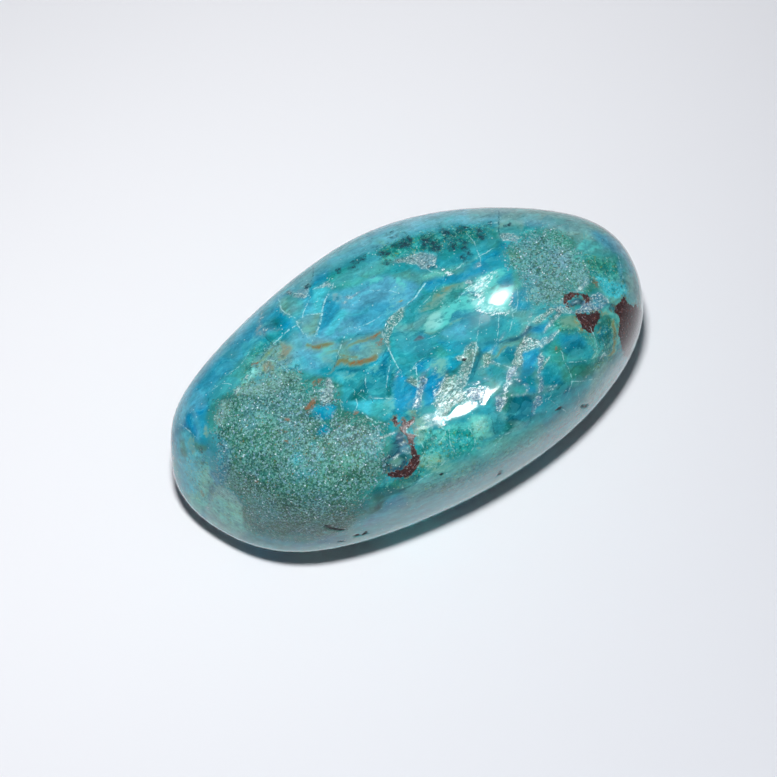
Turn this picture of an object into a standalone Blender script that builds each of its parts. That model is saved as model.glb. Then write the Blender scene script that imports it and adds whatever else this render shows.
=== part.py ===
"""A polished chrysocolla palm stone: one solid pebble, tumbled smooth, that lies on its broad side.

The pebble is a rounded, slightly boxy egg on which the rough block's sides still show as soft worn flats.
Each worn flat is a plane at a stated distance from the stone's middle, and the planes run into one another
and into the egg with soft shoulders. A small lapped spot underneath is truly flat, and the stone rests on it.

Frame: X along the stone, Y across it, Z up. The origin is on the lapped spot, under the middle of the stone.
"""

import math

import bmesh
import bpy
from mathutils import Matrix, Vector

MM = 0.001

# The egg that the flats are worn into: half sizes, and how boxy it is (2 is an ellipse, more is boxier).
HALF_LENGTH = 35.8 * MM
HALF_WIDTH = 17.8 * MM
HALF_THICKNESS = 12.5 * MM
PLAN_POWER = 1.77  # under 2, so both ends draw in towards a blunt point
SECTION_POWER = 3.25  # over 2, so the back and the belly are broad and the flanks are steep

# Each worn flat: the compass heading it faces (degrees from +X towards +Y), how far it leans upwards
# (below zero it leans down), and its distance from the stone's middle.
WORN_FLATS = {
    "left_end": {"heading": 202.0, "upward": 12.5, "distance": 27.75 * MM},
    "right_end": {"heading": 353.0, "upward": 17.5, "distance": 31.9 * MM},
    "far_side": {"heading": 105.0, "upward": -8.5, "distance": 17.4 * MM},
    "far_shoulder": {"heading": 54.0, "upward": 21.5, "distance": 22.95 * MM},
    "near_side": {"heading": 267.0, "upward": -11.5, "distance": 18.3 * MM},
    "near_shoulder": {"heading": 247.0, "upward": -6.5, "distance": 25.6 * MM},
}
SHOULDER_SHARPNESS = 10.0  # higher leaves a tighter edge where two flats meet

LAPPED_SPOT_DEPTH = 0.2 * MM  # how much of the belly is lapped away to leave the resting spot

SPHERE_SUBDIVISIONS = 5  # 5120 facets, about 1.5 mm each

STONE_COLOUR = (0.035, 0.32, 0.36, 1.0)
STONE_ROUGHNESS = 0.16


def clear_scene():
    for old in list(bpy.data.objects):
        bpy.data.objects.remove(old)


def facing(heading, upward):
    """The unit vector that points along a compass heading and leans upwards, both in degrees."""
    h = math.radians(heading)
    u = math.radians(upward)
    return Vector((math.cos(h) * math.cos(u), math.sin(h) * math.cos(u), math.sin(u)))


def egg_radius(ray):
    """How far the boxy egg reaches from its middle along a unit ray."""
    plan = abs(ray.x / HALF_LENGTH) ** PLAN_POWER + abs(ray.y / HALF_WIDTH) ** PLAN_POWER
    upright = abs(ray.z / HALF_THICKNESS) ** SECTION_POWER
    return (plan ** (SECTION_POWER / PLAN_POWER) + upright) ** (-1 / SECTION_POWER)


def stone_radius(ray, flats):
    """How far the worn stone reaches along a unit ray: the egg and the flats, run together softly."""
    nearness = egg_radius(ray) ** -SHOULDER_SHARPNESS
    for normal, distance in flats:
        nearness += (max(0.0, ray.dot(normal)) / distance) ** SHOULDER_SHARPNESS
    worn = nearness ** (-1 / SHOULDER_SHARPNESS)
    lapped = (HALF_THICKNESS - LAPPED_SPOT_DEPTH) / max(-ray.z, 1e-6)
    return min(worn, lapped)


def shape_stone(mesh):
    """Turns a sphere primitive into the worn stone and sets it down with its lapped spot on z = 0."""
    flats = [(facing(f["heading"], f["upward"]), f["distance"]) for f in WORN_FLATS.values()]
    stretch = Matrix.Diagonal((HALF_LENGTH, HALF_WIDTH, HALF_THICKNESS, 1.0))
    bm = bmesh.new()
    bmesh.ops.create_icosphere(bm, subdivisions=SPHERE_SUBDIVISIONS, radius=1.0, matrix=stretch)
    for vert in bm.verts:
        ray = vert.co.normalized()
        vert.co = ray * stone_radius(ray, flats)
    low = Vector(min(v.co[axis] for v in bm.verts) for axis in range(3))
    high = Vector(max(v.co[axis] for v in bm.verts) for axis in range(3))
    middle = (low + high) / 2
    bmesh.ops.translate(bm, verts=bm.verts, vec=(-middle.x, -middle.y, -low.z))
    bm.to_mesh(mesh)
    bm.free()
    mesh.shade_smooth()


def stone_material():
    material = bpy.data.materials.new("polished_chrysocolla")
    material.use_nodes = True
    shader = material.node_tree.nodes["Principled BSDF"]
    shader.inputs["Base Color"].default_value = STONE_COLOUR
    shader.inputs["Roughness"].default_value = STONE_ROUGHNESS
    shader.inputs["Metallic"].default_value = 0.0
    material.diffuse_color = STONE_COLOUR
    return material


def build_stone():
    mesh = bpy.data.meshes.new("chrysocolla_stone")
    shape_stone(mesh)
    mesh.materials.append(stone_material())
    stone = bpy.data.objects.new("chrysocolla_stone", mesh)
    specimen = bpy.data.collections.new("chrysocolla_specimen")
    bpy.context.scene.collection.children.link(specimen)
    specimen.objects.link(stone)


clear_scene()
build_stone()
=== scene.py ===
import math

import bpy
import numpy as np
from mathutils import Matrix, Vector, noise


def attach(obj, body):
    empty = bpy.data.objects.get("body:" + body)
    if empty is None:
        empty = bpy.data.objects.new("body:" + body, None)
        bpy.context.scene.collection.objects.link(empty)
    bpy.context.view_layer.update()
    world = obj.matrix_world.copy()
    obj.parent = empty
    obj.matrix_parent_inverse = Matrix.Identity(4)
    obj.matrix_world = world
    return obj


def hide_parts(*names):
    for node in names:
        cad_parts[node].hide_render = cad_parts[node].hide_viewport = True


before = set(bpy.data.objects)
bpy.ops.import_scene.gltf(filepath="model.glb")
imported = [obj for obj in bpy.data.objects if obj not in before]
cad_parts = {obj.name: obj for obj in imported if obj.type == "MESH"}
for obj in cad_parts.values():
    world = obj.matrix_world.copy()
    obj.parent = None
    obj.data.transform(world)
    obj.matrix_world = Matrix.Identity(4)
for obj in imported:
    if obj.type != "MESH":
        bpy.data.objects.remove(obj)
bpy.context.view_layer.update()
mm = 0.001

viewing = {
    "azimuth": -30.95,  # degrees round the stone, 0 looks along +Y
    "elevation": 65.0,
    "distance": 279.8,  # mm from the camera to the middle of the face it sees
    "lens": 105.0,
    "faceMiddle": (-0.66, 0.39, 12.27),  # mm, the point that every mark is measured from
    "aimAcross": -2.57,  # mm from there to the middle of the view
    "aimUp": -2.17,
}

# natural colours of the stone, named as a cutter would sort the rough; the rim colours and the pale lower-edge colour
# also hold painted reflection
minerals = {
    "azure": "0388A8", "deepAzure": "0284B2", "sky": "50A2BC", "paleSky": "68AABA", "navy": "044A6A",
    "cyan": "3AB2C4", "brightCyan": "48C4D2", "teal": "228E98", "deepTeal": "00606E", "seaGreen": "34928A",
    "emerald": "169688", "deepGreen": "04625E", "bottleGreen": "0A4642", "mint": "68C2B0", "paleMint": "98D2C4",
    "turquoise": "54C2BE", "paleTurquoise": "9AE6E2", "greyGreen": "6A9A86", "greyMint": "7AAAA2",
    "greenHaze": "3E9E86", "lobeGreen": "3C9684", "oliveGrey": "64908A", "oliveBrown": "6E6C3C",
    "mossGreen": "2E7054", "mossDark": "144840", "gold": "8A7C36", "rustyTan": "A8622E", "brownGrey": "80806C", "tanHaze": "7E8C80",
    "pinkGrey": "7C90A0", "plum": "5A3848", "blueGrey": "3E88A4", "flank": "02929C", "lowerEdgeReflection": "3EA0A0",
    "smoke": "1E6672", "paleRimWithReflection": "80C4D4", "greyRimWithReflection": "7CB0AE", "pocket": "1E3E4C", "pocketBlue": "3C6880",
    "druseGreen": "2E7464", "druseMist": "46988F", "dusk": "4E8CA0", "duskPale": "7A9CAE",
    "veinGreen": "5C8474", "veinSlate": "587C9C", "veinPale": "789AA4", "quartz": "DCEEF0",
}


def linear(hexColour):
    channels = [int(hexColour[i:i + 2], 16) / 255 for i in (0, 2, 4)]
    return [c / 12.92 if c <= 0.04045 else ((c + 0.055) / 1.055) ** 2.4 for c in channels] + [1.0]


def ease(low, high, values):
    t = np.clip((values - low) / (high - low), 0, 1)
    return t * t * (3 - 2 * t)


azimuth = math.radians(viewing["azimuth"])
elevation = math.radians(viewing["elevation"])
across = np.array([math.cos(azimuth), math.sin(azimuth), 0])
away = np.array([-math.sin(azimuth), math.cos(azimuth), 0])
up = away * math.sin(elevation) + np.array([0, 0, math.cos(elevation)])
towards = -away * math.cos(elevation) + np.array([0, 0, math.sin(elevation)])
faceMiddle = np.array(viewing["faceMiddle"])

# the fine stone is a copy of the CAD solid, merged and cut to quarter-millimetre facets
stone = {
    "cuts": 5,
    "smoothing": 14,
    "waviness": 0.010,  # mm that the polish rolls inwards
    "drusePit": 0.10,  # mm that the grainy patches lie below the polish
    "veinPit": 0.05,
    "crackPit": 0.22,
}

polishedStone = bpy.data.objects.new("polished_stone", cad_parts["chrysocolla_stone"].data.copy())
bpy.context.scene.collection.objects.link(polishedStone)
bpy.ops.object.select_all(action="DESELECT")
bpy.context.view_layer.objects.active = polishedStone
polishedStone.select_set(True)
bpy.ops.object.mode_set(mode="EDIT")
bpy.ops.mesh.select_all(action="SELECT")
bpy.ops.mesh.remove_doubles(threshold=0.001 * mm)
bpy.ops.mesh.subdivide(number_cuts=stone["cuts"], smoothness=1.0)
bpy.ops.mesh.vertices_smooth(factor=0.5, repeat=stone["smoothing"])
bpy.ops.object.mode_set(mode="OBJECT")
bpy.ops.object.shade_smooth()
stoneMesh = polishedStone.data
stoneMesh.materials.clear()
vertCount = len(stoneMesh.vertices)
spots = np.empty(vertCount * 3)
stoneMesh.vertices.foreach_get("co", spots)
spots = spots.reshape(-1, 3) / mm
spots[:, 2] = np.maximum(spots[:, 2], 0)  # the lapped spot stays on the table
normals = np.empty(vertCount * 3)
stoneMesh.vertices.foreach_get("normal", normals)
normals = normals.reshape(-1, 3)
print("fine stone:", vertCount, "points,", len(stoneMesh.polygons), "facets")

# where each point stands across the view in mm, and how squarely it faces the camera
offset = spots - faceMiddle
nearness = viewing["distance"] / (viewing["distance"] - offset @ towards)
seen = np.stack([(offset @ across) * nearness, (offset @ up) * nearness], axis=1)
facing = normals @ towards


def ripple(size, seed):
    # soft random pushes from -1 to 1, one set for each point, with swells of this many mm
    shift = Vector((seed * 17.3, seed * 5.1, seed * 9.7))
    return np.array([noise.noise_vector(Vector(p) / size + shift) for p in spots])


coarsePush = ripple(2.2, 1)
finePush = ripple(0.7, 2)
wander = 0.28 * coarsePush[:, :2] + 0.20 * finePush[:, :2]  # mm, keeps drawn edges from looking drawn
wandering = seen + wander


def rounded(corners, closed):
    # a smooth line through given corners, four steps from each to the next
    points = np.array(corners, float)
    count = len(points)
    steps = []
    for i in range(count if closed else count - 1):
        if closed:
            a, b, c, d = (points[(i + k) % count] for k in (-1, 0, 1, 2))
        else:
            a, b, c, d = (points[min(max(i + k, 0), count - 1)] for k in (-1, 0, 1, 2))
        for t in (0, 0.25, 0.5, 0.75):
            steps.append(b + 0.5 * t * (c - a + t * (2 * a - 5 * b + 4 * c - d + t * (3 * (b - c) + d - a))))
    if not closed:
        steps.append(points[-1])
    return np.array(steps)


def pointsNear(line, reach):
    low = line[:, :2].min(axis=0) - reach
    high = line[:, :2].max(axis=0) + reach
    inBox = np.all((wandering > low) & (wandering < high), axis=1) & (facing > -0.02)
    return np.nonzero(inBox)[0]


def patchDepth(corners, reach=2.5):
    # mm inside a rounded outline, below zero outside it
    line = rounded(corners, True)
    near = pointsNear(line, reach)
    places = wandering[near]
    gap = np.full(len(near), reach)
    inside = np.zeros(len(near), bool)
    for start, end in zip(line, np.roll(line, -1, axis=0)):
        run = end - start
        t = np.clip((places - start) @ run / (run @ run + 1e-12), 0, 1)
        gap = np.minimum(gap, np.hypot(*(places - start - t[:, None] * run).T))
        crosses = (start[1] > places[:, 1]) != (end[1] > places[:, 1])
        turn = start[0] + (places[:, 1] - start[1]) * run[0] / (run[1] if run[1] else 1e-12)
        inside ^= crosses & (places[:, 0] < turn)
    depth = np.full(vertCount, -reach)
    depth[near] = np.where(inside, gap, -gap)
    return depth


def strokeDepth(line, reach=2.0, steadiness=0.0):
    # mm inside a stroke whose half-width changes along it; each corner is across, up, half-width
    line = rounded(line, False)
    near = pointsNear(line, reach)
    places = wandering[near] * (1 - steadiness) + seen[near] * steadiness
    best = np.full(len(near), -reach)
    for start, end in zip(line[:-1], line[1:]):
        run = end[:2] - start[:2]
        t = np.clip((places - start[:2]) @ run / (run @ run + 1e-12), 0, 1)
        gap = np.hypot(*(places - start[:2] - t[:, None] * run).T)
        best = np.maximum(best, start[2] + t * (end[2] - start[2]) - gap)
    depth = np.full(vertCount, -reach)
    depth[near] = best
    return depth


# these feather out in wisps, the others meet each other along clean edges
stains = {"ochre", "gold", "brownGrey", "pinkGrey", "turquoise", "paleTurquoise", "oliveBrown"}

# colour patches, laid one over another: mineral, softness of the edge in mm, strength, outline
tintPatches = [
    ("teal", 3.0, 0.7, [(-24, -14), (-12, -20), (4, -15), (12, -8), (2, -4), (-14, -4)]),
    # upper left flank
    ("azure", 2.0, 0.9, [(-29.6, -10), (-29.2, -4), (-25, 2), (-20, 7), (-16, 10), (-15, 7), (-18.5, 4), (-21, 0),
                         (-23, -3), (-24.5, -7), (-27, -11)]),
    ("deepAzure", 1.0, 0.9, [(-27.6, -3.8), (-25.4, -4.2), (-24.4, -6.6), (-26, -8.2), (-28, -7.4)]),
    ("sky", 0.8, 0.8, [(-28.4, -3), (-26, -2.4), (-25.2, -4.4), (-26.6, -4.8), (-28.6, -5.4)]),
    ("seaGreen", 1.2, 0.7, [(-24.4, -2), (-22.4, 1), (-20, 3.4), (-18, 2.6), (-20, -0.4), (-22.5, -3.6),
                            (-24.6, -5)]),
    ("azure", 0.8, 0.9, [(-24.6, -0.4), (-24, 1), (-22.6, 1.2), (-21.8, 0.4), (-23.2, -0.8), (-24.4, -1.6)]),
    ("azure", 1.0, 0.8, [(-22.6, 1.6), (-20.8, 2.6), (-19.4, 4.8), (-18.9, 4.4), (-20.4, 2.2), (-21.8, 1)]),
    ("pinkGrey", 0.5, 0.8, [(-19.2, 4.4), (-18.9, 5.8), (-18.4, 7.2), (-18, 6.6), (-18.2, 5), (-18.4, 4.2)]),
    ("pinkGrey", 0.8, 0.6, [(-24.2, 1.4), (-22.6, 2.2), (-21.4, 4), (-22, 4.4), (-23.6, 2.8)]),
    ("mossGreen", 0.7, 0.45, [(-22.8, 2), (-21.4, 2.4), (-21.6, 1.4), (-22.6, 1.4)]),
    ("azure", 0.7, 0.9, [(-18.2, 8.4), (-16.4, 8), (-15.6, 6.4), (-14.4, 5.4), (-16.4, 5), (-17.4, 6.4)]),
    ("deepGreen", 0.6, 0.75, [(-18, 6), (-16.4, 6.6), (-16, 5.6), (-16.6, 5.2), (-17.8, 5.2)]),
    ("deepAzure", 0.5, 0.8, [(-16, 5.6), (-15, 6.4), (-14.4, 6), (-14.8, 5.2), (-15.6, 5)]),
    ("teal", 0.5, 0.8, [(-17.9, 4.4), (-16.9, 4.8), (-16.2, 4.4), (-16.9, 3.4)]),
    ("deepGreen", 0.4, 0.6, [(-18.2, 4.6), (-17.9, 4.2), (-17, 3.2), (-16.6, 3.2), (-17.4, 4.2)]),
    ("mint", 0.7, 0.9, [(-26.6, -12.4), (-25.2, -11.6), (-24.4, -12.2), (-24.1, -14.2), (-24.8, -16.4),
                        (-26, -17.4), (-27.2, -15.6)]),
    ("paleMint", 0.6, 0.6, [(-26, -12.6), (-24.8, -12), (-24.6, -13.4), (-25.4, -14.4), (-26.4, -13.8)]),
    ("seaGreen", 0.5, 0.7, [(-26.9, -14.2), (-26.2, -14.4), (-25.8, -15.4), (-26.6, -15.6)]),
    ("cyan", 0.6, 1.0, [(-27.9, -9), (-26.4, -8.8), (-25.8, -10.4), (-26.6, -12.6), (-27.8, -13.6), (-28.6, -12)]),
    ("teal", 0.6, 0.9, [(-28.9, -12), (-28, -9.4), (-27.2, -10), (-27.6, -12.6), (-27.7, -15.4), (-28.9, -14.6)]),
    ("brightCyan", 0.6, 0.7, [(-27.8, -11.8), (-26.8, -10), (-25.4, -11), (-26, -12), (-27.2, -13.4)]),
    ("deepTeal", 0.5, 0.9, [(-24.9, -14.2), (-24.2, -14.2), (-24, -16), (-24.8, -16.2)]),
    ("deepTeal", 0.5, 0.7, [(-26.4, -10.8), (-25.2, -10.6), (-25.4, -11.6), (-26, -12)]),
    ("greyMint", 0.7, 0.95, [(-24.1, -14.4), (-22, -15.1), (-20.5, -17.2), (-19.9, -19.6), (-21.4, -20.8),
                             (-23.4, -19.6), (-25.2, -18)]),
    ("paleMint", 0.8, 0.5, [(-23.4, -15.2), (-21.8, -15.8), (-20.6, -17.8), (-20.8, -19.2), (-22.6, -18)]),
    ("blueGrey", 0.5, 0.9, [(-25, -7.6), (-24, -8), (-23.5, -11), (-23.7, -13.8), (-24.3, -14), (-24.8, -12),
                            (-25.1, -9.5)]),
    # around the shoulder lobes
    ("azure", 0.5, 0.9, [(-11.9, 12.4), (-10.2, 12.8), (-10, 11.6), (-10.6, 10.8), (-11.8, 10.4)]),
    ("brightCyan", 0.3, 0.95, [(-12.8, 9.8), (-11.6, 10.3), (-9.7, 10.2), (-10.5, 8.4), (-10.9, 6.9), (-13, 7),
                               (-13.2, 8.2)]),
    ("azure", 0.4, 0.7, [(-12.8, 9.6), (-12, 10.2), (-11.8, 9.2), (-12.6, 7.2), (-13.1, 7.4)]),
    ("pinkGrey", 0.6, 0.85, [(-15.2, 9.7), (-14.2, 10.4), (-12.2, 10.6), (-12.6, 9.4), (-13.6, 8.9), (-14.6, 9.3)]),
    ("greyMint", 0.6, 0.85, [(-14.6, 10.6), (-13.2, 12.2), (-12, 12.7), (-11.9, 11.4), (-12.3, 10.5), (-13.4, 10.3)]),
    ("plum", 0.4, 0.5, [(-15.1, 9.6), (-14.5, 9.9), (-14.4, 9.4), (-15, 9.2)]),
    ("lobeGreen", 0.25, 1.0, [(-16, 8.4), (-15.7, 7.4), (-14.8, 6.8), (-13.7, 6.8), (-13.2, 7.7), (-13.3, 8.8),
                              (-14.1, 9.4), (-15.4, 9.3)]),
    ("greyMint", 0.3, 0.7, [(-16.1, 8.8), (-15.6, 9.3), (-15.3, 8.6), (-15.4, 7.6), (-14.7, 7), (-15.3, 6.9),
                            (-16, 7.8)]),
    ("greyGreen", 0.25, 0.95, [(-14.1, 6), (-12.9, 6.8), (-11, 6.95), (-11.5, 5.2), (-11.9, 4.2), (-12.7, 4),
                               (-13.4, 4.7)]),
    ("brownGrey", 0.3, 0.5, [(-12.9, 6), (-12.1, 6), (-12, 5), (-12.7, 4.8)]),
    # smooth sky-blue heart of the stone
    ("sky", 1.0, 1.0, [(-10.4, 9.4), (-8, 10.4), (-4, 11.6), (-0.6, 11.2), (1.4, 9.8), (-0.4, 7.6), (-2.2, 6.6),
                       (-3.2, 5), (-6, 4.6), (-8.5, 4), (-11.4, 3.6), (-11, 6.4)]),
    ("azure", 0.6, 0.8, [(-10.6, 8.6), (-9, 8.6), (-8.4, 7.4), (-9.2, 6), (-10.6, 5.2), (-11.2, 4.4), (-11, 6.6)]),
    ("brightCyan", 0.5, 0.7, [(-8.6, 7.6), (-7.8, 7.2), (-8.6, 5.8), (-9.6, 4.4), (-10.4, 4.6), (-9.6, 6.2)]),
    ("sky", 0.5, 0.7, [(-7.8, 8.4), (-5, 10.2), (-1.4, 10.6), (-1, 9.6), (-4, 8.6), (-6.4, 7.2)]),
    ("azure", 0.8, 0.5, [(-7.4, 7), (-4, 8.4), (-1.8, 7.6), (-3, 5.4), (-6, 5.4)]),
    ("paleSky", 1.0, 0.8, [(-14.5, 4.8), (-11, 4), (-8.6, 3), (-9.6, 1.4), (-11, 0.6), (-13, 0), (-14.5, 0.4),
                           (-14.8, 3)]),
    ("sky", 0.6, 0.7, [(-13.6, 2.4), (-10.6, 2.2), (-9.8, 1), (-11.8, 0.4), (-13.4, 1)]),
    ("brightCyan", 0.4, 0.5, [(-14.6, 1.2), (-13.2, 1.6), (-12.4, 0.6), (-13.6, 0), (-14.8, 0.2)]),
    ("tanHaze", 1.1, 0.8, [(-19.6, 0.4), (-17.8, 2.4), (-15.6, 3.5), (-14.5, 3), (-14.7, 1), (-16.4, -0.7),
                           (-18.2, -0.9)]),
    ("brownGrey", 0.3, 0.75, [(-18.2, 0.4), (-17.6, 0.9), (-17, 0.6), (-16.9, -0.2), (-17.5, -0.7), (-18.1, -0.3)]),
    ("tanHaze", 0.7, 0.5, [(-13, 2.4), (-11.6, 3.4), (-9.8, 3.7), (-9.4, 2.8), (-11, 2.2)]),
    ("oliveGrey", 0.8, 0.95, [(-9, 2), (-8.6, 3.2), (-6, 4.2), (-3.6, 4.8), (-3.2, 3), (-4.4, 1.6), (-6, 0.8), (-8.7, 0.6)]),
    ("blueGrey", 0.6, 0.7, [(-7.8, 3), (-5.8, 3.8), (-5.2, 3), (-6.6, 2.4)]),
    ("pinkGrey", 0.4, 0.7, [(-9.6, 9.6), (-8.8, 9.7), (-8.3, 9.1), (-8.8, 8.5), (-9.6, 8.7)]),
    ("deepTeal", 0.4, 0.6, [(-9.4, 9.3), (-9, 9.3), (-8.8, 8.9), (-9.2, 8.8)]),
    ("smoke", 0.4, 0.4, [(-5.6, 8.4), (-4.8, 8.4), (-4.9, 8), (-5.6, 8)]),
    ("teal", 0.8, 0.85, [(-2.2, 6), (-1, 7), (0.8, 9), (2, 10.6), (3, 9.6), (1.4, 6.6), (0.6, 5), (-1.8, 4.6)]),
    ("oliveGrey", 0.7, 0.6, [(-1.6, 5.4), (0.4, 6), (2, 7), (2.4, 6.4), (0.8, 5), (-1.4, 4.7)]),
    ("teal", 0.4, 1.0, [(-2.8, 2.9), (-2.2, 4.2), (0.2, 4.7), (1.9, 4.5), (3.8, 4), (3.5, 2.8), (2.6, 1.4),
                        (0.6, 0.5), (-1.4, 0.1), (-2.5, 1.7)]),
    ("deepTeal", 0.9, 0.5, [(1, 3.4), (3, 3.4), (3.2, 2.2), (1.6, 1.4), (0.4, 2.2)]),
    ("cyan", 0.8, 0.5, [(-2.4, 3), (-1.6, 3.8), (-0.2, 3.6), (-1, 2.2), (-2.2, 2.2)]),
    ("deepAzure", 0.5, 0.8, [(0.8, 0.9), (2.6, 1.4), (4.4, 1.2), (4.2, 0.2), (1.6, -0.4), (0.6, 0)]),
    ("azure", 0.5, 0.9, [(3.6, 1.2), (5.8, 2.2), (6.6, 1.8), (5.8, 0.4), (4.6, -0.4), (3.4, 0)]),
    ("azure", 0.5, 0.9, [(-4.4, 1.6), (-3.1, 2.4), (-2.8, 1.2), (-2.9, -1), (-3.8, -1), (-5.4, -0.4), (-5.2, 0.4)]),
    ("teal", 0.4, 0.9, [(-5.4, -1), (-3, -0.8), (-2.8, -3.3), (-4.6, -3.4), (-5.4, -2.4)]),
    ("teal", 0.5, 0.9, [(-9.4, -0.2), (-6, 0), (-5.6, -2), (-6.6, -2.6), (-8.4, -2.7), (-9.6, -1.6)]),
    ("cyan", 0.5, 0.75, [(-9.6, -0.4), (-8.4, -0.4), (-8.4, -1.6), (-9.2, -2.2), (-9.9, -1.4)]),
    ("deepGreen", 0.4, 0.8, [(-6.4, -1.6), (-5.7, -1.4), (-5.2, -3), (-5.6, -4.4), (-7.4, -4.4), (-7.2, -3)]),
    ("deepAzure", 0.35, 0.95, [(-2, -1), (0.2, -0.9), (1.1, -2), (0.9, -3), (0.3, -4.6), (-1.7, -4.7), (-2.1, -3)]),
    ("sky", 0.3, 0.6, [(-0.9, -1.6), (-0.1, -1.6), (0, -3), (-0.6, -3.6), (-0.8, -2.6)]),
    ("deepAzure", 0.4, 0.9, [(2.1, -0.9), (3.9, 0.1), (4, -1.6), (3.2, -3.4), (2, -4.6), (1.6, -3.2)]),
    ("deepTeal", 0.6, 0.6, [(2.9, 0.2), (4.4, 0.2), (5.8, -0.4), (5.4, -0.9), (4.2, -0.9)]),
    ("cyan", 0.4, 0.9, [(-7.6, -3.8), (-5.4, -3.9), (-4.2, -3.9), (-2.3, -3.7), (-2.2, -5.2), (-3.4, -5.9),
                        (-5, -5.9), (-6.4, -5)]),
    ("seaGreen", 0.6, 0.6, [(-4.6, -4.2), (-2.6, -4.2), (-3, -5.8), (-4.6, -5.8)]),
    ("deepTeal", 0.4, 0.7, [(-2.1, -4.8), (0.2, -4.9), (1.4, -5.2), (1, -6.4), (-0.4, -6), (-2.2, -5.8)]),
    ("deepAzure", 0.4, 0.6, [(-1.9, -4.6), (-1, -4.6), (-1.1, -6.6), (-1.6, -6.4)]),
    # green band of the upper edge
    ("teal", 1.0, 0.9, [(-10.6, 10.8), (-9, 12.8), (-6, 14.6), (-3, 15.8), (0, 16.8), (4, 17.6), (8, 17.8),
                        (11, 17.4), (10, 15), (6, 13.2), (3, 12.4), (0, 12.2), (-4, 12), (-7, 11), (-9.5, 10.2)]),
    ("emerald", 0.8, 0.8, [(-10.2, 11), (-9, 12.4), (-6, 14), (-3, 15.2), (0, 16.2), (1.4, 15.6), (-2, 14),
                           (-4, 12.6), (-6.6, 10.8), (-9, 10.5)]),
    ("greenHaze", 0.8, 0.6, [(-9.6, 11), (-8, 12), (-5.8, 12.4), (-5.4, 11.2), (-7.4, 10.4), (-9.4, 10.2)]),
    ("mint", 1.0, 0.35, [(-9.4, 10.8), (-7, 12.2), (-4.6, 13.2), (-2, 14.2), (-2.2, 12.8), (-5, 11.2), (-7.6, 10.4)]),
    ("deepGreen", 0.8, 0.8, [(-2.4, 15.4), (-0.6, 16.4), (1.4, 16.8), (4, 17.4), (8, 17.4), (9.4, 16.8), (8, 15),
                             (5, 14.4), (1.6, 14.8), (-0.8, 14.8)]),
    ("emerald", 0.5, 0.8, [(0.6, 16.4), (1.3, 16.5), (1.3, 14.8), (0.4, 14.7)]),
    ("seaGreen", 0.6, 0.7, [(9, 17.6), (10.9, 17.6), (10.9, 15.4), (9.4, 15.2), (9.6, 16.4)]),
    ("teal", 0.8, 0.7, [(2.4, 14.6), (6, 15), (7, 13.8), (4, 12.4), (2, 12.6)]),
    # pale band on the top rim, partly the stone's paler colour and partly painted reflection of the bright room
    ("paleSky", 0.8, 0.7, [(-3, 16.4), (0, 17.4), (4, 18.2), (8, 18.2), (10.8, 18), (10.8, 19.2), (4, 19.4),
                           (-4, 17.6)]),
    ("greyMint", 0.3, 0.85, [(11, 16.6), (11, 19.8), (14, 19.7), (14, 17.6), (13.4, 16.4), (12.2, 16.2)]),
    ("brownGrey", 0.5, 0.6, [(11.1, 17), (11.1, 19), (13.6, 18.8), (13, 17)]),
    ("blueGrey", 0.7, 0.6, [(14.3, 19.4), (17, 19), (16.6, 17.4), (14.6, 17.4)]),
    ("greyMint", 1.0, 0.85, [(16.4, 19.6), (22, 18.2), (21.4, 16.4), (17.6, 16.8)]),
    # centre right
    ("deepAzure", 0.6, 0.85, [(1.6, 10.8), (4, 11.6), (6.8, 12.4), (9, 13.2), (9.6, 12.2), (7.4, 11.6), (5.4, 10.8),
                              (2.4, 9.8)]),
    ("azure", 0.5, 0.95, [(9, 13.2), (9.6, 14.2), (10.6, 14.8), (11.3, 14), (10.8, 12.6), (9.4, 12.4)]),
    ("deepTeal", 0.5, 0.5, [(9.1, 13.2), (10.4, 13.2), (10.3, 12.5), (9.3, 12.4)]),
    ("azure", 0.4, 0.8, [(11.4, 15.8), (13, 15.9), (12.8, 15), (11.5, 14.9)]),
    ("seaGreen", 0.8, 0.6, [(2, 8.4), (3.4, 10.4), (6.6, 10.8), (6.6, 9.4), (4.4, 8.2), (3, 6.8)]),
    ("brownGrey", 0.6, 0.5, [(1.4, 7), (2.4, 8.6), (3.4, 9.8), (6.2, 10.8), (6.8, 10.2), (4.6, 9.2), (3.2, 7.6)]),
    ("turquoise", 0.7, 0.95, [(1.7, 4.8), (2.2, 6.6), (4, 7.8), (6, 8.6), (5.6, 7), (4.4, 5.4), (2.8, 4.6)]),
    ("paleTurquoise", 0.6, 0.6, [(2, 5.4), (2.6, 6.8), (4, 7.2), (3.8, 5.6), (2.8, 5)]),
    # the turquoise cloud round the back gleam is partly the stone's colour and partly painted glare of the gleam
    ("turquoise", 0.9, 0.8, [(6, 8.8), (7, 10.2), (8.6, 11.4), (10.6, 12.4), (12, 12), (12.6, 10), (12.4, 8),
                             (12, 6.9), (9.4, 6.9), (7.8, 7.6), (6.4, 8)]),
    ("paleTurquoise", 0.5, 0.7, [(7, 9.8), (8.4, 11), (9.6, 11.4), (9.4, 9.6), (9.2, 8.2), (11.8, 8), (11.8, 7.1),
                                 (9.2, 7.1), (8, 7.8)]),
    ("azure", 0.5, 0.85, [(10.8, 11.2), (12.2, 12.2), (12.9, 11.4), (12.3, 10.4), (11, 10.5)]),
    ("greenHaze", 0.7, 0.7, [(12.6, 12), (13.8, 12.4), (14.4, 11), (13.6, 10), (12.8, 10)]),
    ("azure", 0.5, 0.85, [(12.6, 8), (12.8, 9.6), (14.6, 9.4), (15, 7.8), (13.6, 7.2)]),
    ("teal", 0.7, 0.9, [(5.6, 7.4), (7.6, 7.4), (8.4, 7), (12, 6.7), (13.6, 6), (13.4, 4.4), (10, 3.8),
                        (6.8, 3.5), (5, 4), (4.4, 5)]),
    ("blueGrey", 0.5, 0.45, [(5.4, 7.2), (7.4, 7.2), (7.6, 5.6), (6, 5), (5, 5.6)]),
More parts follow.
